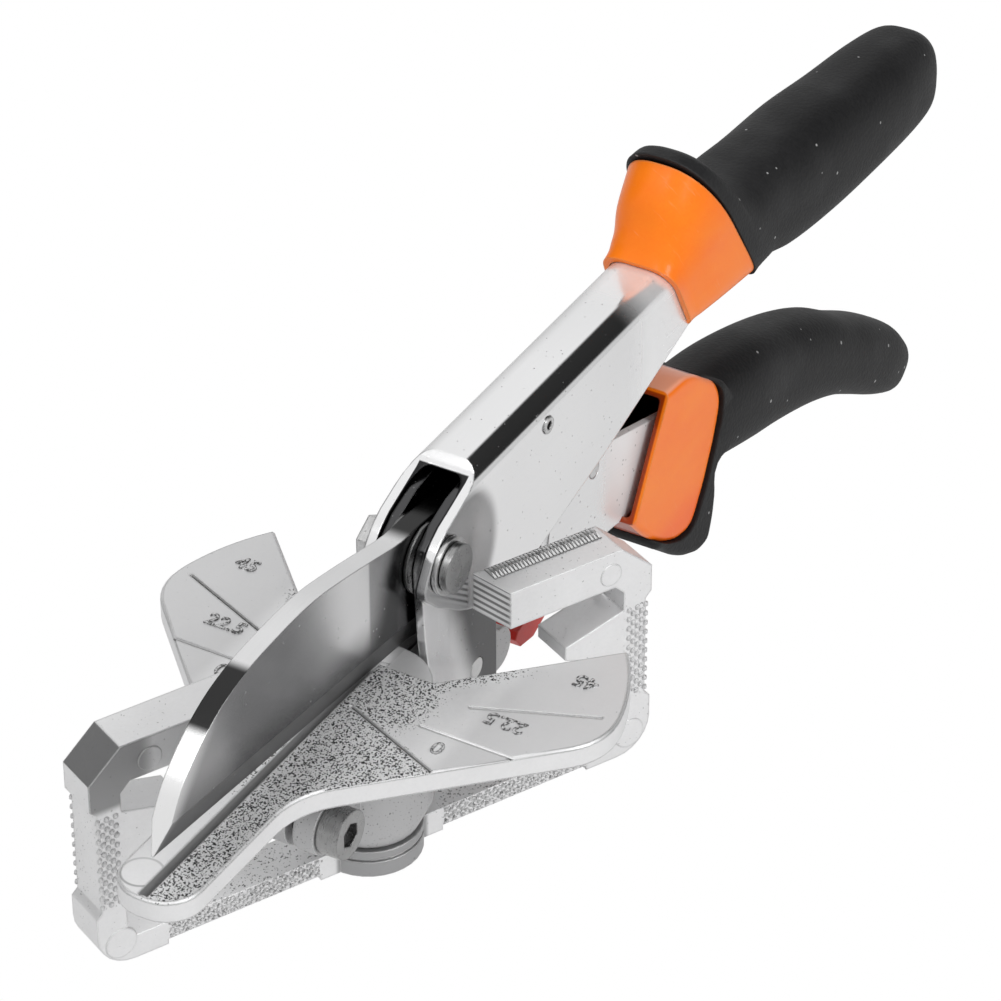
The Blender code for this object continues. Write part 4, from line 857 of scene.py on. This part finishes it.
def plate_layers(outline, half, rounding, steps, sharp_front=False):
    """Layers across Y of a side outline, its long edges rounded. The ends of a sharp front stay full height."""
    count = len(outline)
    area = sum(a.x * b.y - b.x * a.y for a, b in zip(outline, outline[1:] + outline[:1]))
    turn = 1 if area > 0 else -1
    arc = [(half - rounding * (1 - cos(pi / 2 * step / steps)), rounding * (1 - sin(pi / 2 * step / steps)))
           for step in range(steps + 1)]
    layers = []
    for y, inset in [(-y, inset) for y, inset in arc] + [(y, inset) for y, inset in reversed(arc)]:
        layer = []
        for index, point in enumerate(outline):
            if sharp_front and index in (0, count - 1):
                inward = (outline[-1 if index == 0 else 0] - point).normalized()
            else:
                before = (point - outline[index - 1]).normalized()
                after = (outline[(index + 1) % count] - point).normalized()
                way = (before + after).normalized()
                inward = Vector((-way.y, way.x)) * turn
            moved = point + inward * inset
            layer.append(Vector((moved.x, y, moved.y)))
        layers.append(layer)
    return layers


def guard_painted_light_and_shade(finish, skin):
    """The guard's painted light and shade: its top painted paler, its foot a darker red, and the inside of its
    mouth dark red.
    """
    x, y, z = finish.place.parts()
    # Painted light on the upward-facing top; painted shade at the foot and inside the mouth
    skin = (finish.facing()[2].step(0.55, 0.90) * 0.80).tint(skin, (1.0, 0.50, 0.34))
    skin = (z.fade(0.0085, 0.0150) * 0.45).tint(skin, (0.90, 0.07, 0.004))
    mouth = ((x - 0.0890) * 0.873 - (z - 0.0393) * 0.488).fade(0.00025, 0.00045)
    mouth = mouth * abs(y).fade(0.0062, 0.0065) * (z + x * 0.123).fade(0.04955, 0.04985)
    mouth = mouth.most(abs(y).fade(0.00555, 0.00575) * z.fade(0.0372, 0.0376))
    return (mouth * 0.85).tint(skin, (0.22, 0.006, 0.001))


guard_shares = ((0.370, -0.0485), (0.4065, -0.053), (0.4425, -0.076), (0.461, -0.092), (0.467, -0.106),
                (0.4605, -0.1405), (0.4495, -0.166), (0.435, -0.1935), (0.4145, -0.217), (0.3955, -0.217),
                (0.374, -0.2085), (0.3425, -0.186), (0.3115, -0.153))
room_shares = ((0.3500, -0.0530), (0.4040, -0.0580), (0.4380, -0.0800), (0.4560, -0.0950), (0.4615, -0.1070),
               (0.4555, -0.1390), (0.4445, -0.1640), (0.4310, -0.1890), (0.4120, -0.2115), (0.3965, -0.2115),
               (0.3770, -0.2035), (0.3460, -0.1815), (0.3140, -0.1485), (0.2950, -0.1400))
guard_side = side_points(curved(guard_shares, 6))
cup = skinned(plate_layers(guard_side, half=0.0070, rounding=0.0013, steps=5, sharp_front=True))
hollow = skinned(plate_layers(side_points(room_shares), half=0.0056, rounding=0.0008, steps=3))
guard = in_place_of("lower_guard", combined(cup, [("DIFFERENCE", hollow)]), "guard_cup", 40)
moulded_orange(guard, guard_painted_light_and_shade)


# Lower grip: the same black rubber over the lower lever, curved for the fingers, with a rim in front that frames
# the guard
lower_rows = ((0.4520, -0.0845, 0.4560, -0.1840, 0.84), (0.4750, -0.0905, 0.4680, -0.1850, 0.90),
              (0.5275, -0.1005, 0.4955, -0.1915, 0.94), (0.5730, -0.1120, 0.5360, -0.2020, 0.94),
              (0.6195, -0.1265, 0.5760, -0.2110, 0.93), (0.6670, -0.1445, 0.6180, -0.2220, 0.92),
              (0.7155, -0.1675, 0.6630, -0.2360, 0.91), (0.7600, -0.1955, 0.7105, -0.2550, 0.90),
              (0.8120, -0.2255, 0.7575, -0.2810, 0.88), (0.8500, -0.2520, 0.7960, -0.3040, 0.84),
              (0.8760, -0.2780, 0.8300, -0.3225, 0.75), (0.8900, -0.3020, 0.8600, -0.3340, 0.53))
rim_shares = ((0.4500, -0.0860), (0.4740, -0.0960), (0.4830, -0.1750), (0.4630, -0.1775), (0.4595, -0.2065),
              (0.4540, -0.2335), (0.4460, -0.2490), (0.4320, -0.2520), (0.4125, -0.2460), (0.3900, -0.2335),
              (0.3650, -0.2125), (0.3475, -0.1955), (0.3550, -0.1825), (0.4250, -0.1050))
lower_half_width, past_sides = 0.0088, 0.012
sleeve = skinned([oval((*row, square_above, square_below), lower_half_width) for row in curved(lower_rows, 6)])
rim = skinned(plate_layers(side_points(curved(rim_shares, 4)), half=0.0076, rounding=0.0016, steps=4))
guard_room = skinned([[Vector((point.x, y, point.y)) for point in guard_side] for y in (-past_sides, past_sides)])
lower_mesh = combined(sleeve, [("UNION", rim), ("DIFFERENCE", guard_room)])
moulded_rubber(in_place_of("lower_grip", lower_mesh, "lower_grip_sleeve", 45))


# Safety latch: a small red moulded lever that turns on a plated pin across the lower channel. Slightly glossy,
# and worn pale along its edges
finish = Finish("latch_red", Specular_IOR_Level=0.4)
flow = finish.place.noise(160.0, 2.0)
fine = finish.place.noise(2000.0, 2.0)
rounded, edges = finish.worn_edges(0.0005)
skin = (flow * 0.7 + fine * 0.3).tint((0.38, 0.010, 0.006), (0.62, 0.030, 0.020))
finish.varies("Base Color", (edges.step(0.04, 0.2) * 0.5).tint(skin, (0.75, 0.16, 0.12)))
finish.varies("Roughness", 0.30 + fine * 0.14)
finish.bumps(flow * 0.6 + fine * 0.2, 0.0001, 0.4, rounded)
finish.onto(nodes["safety_latch"])
plated_hardware.onto(nodes["latch_pin"])
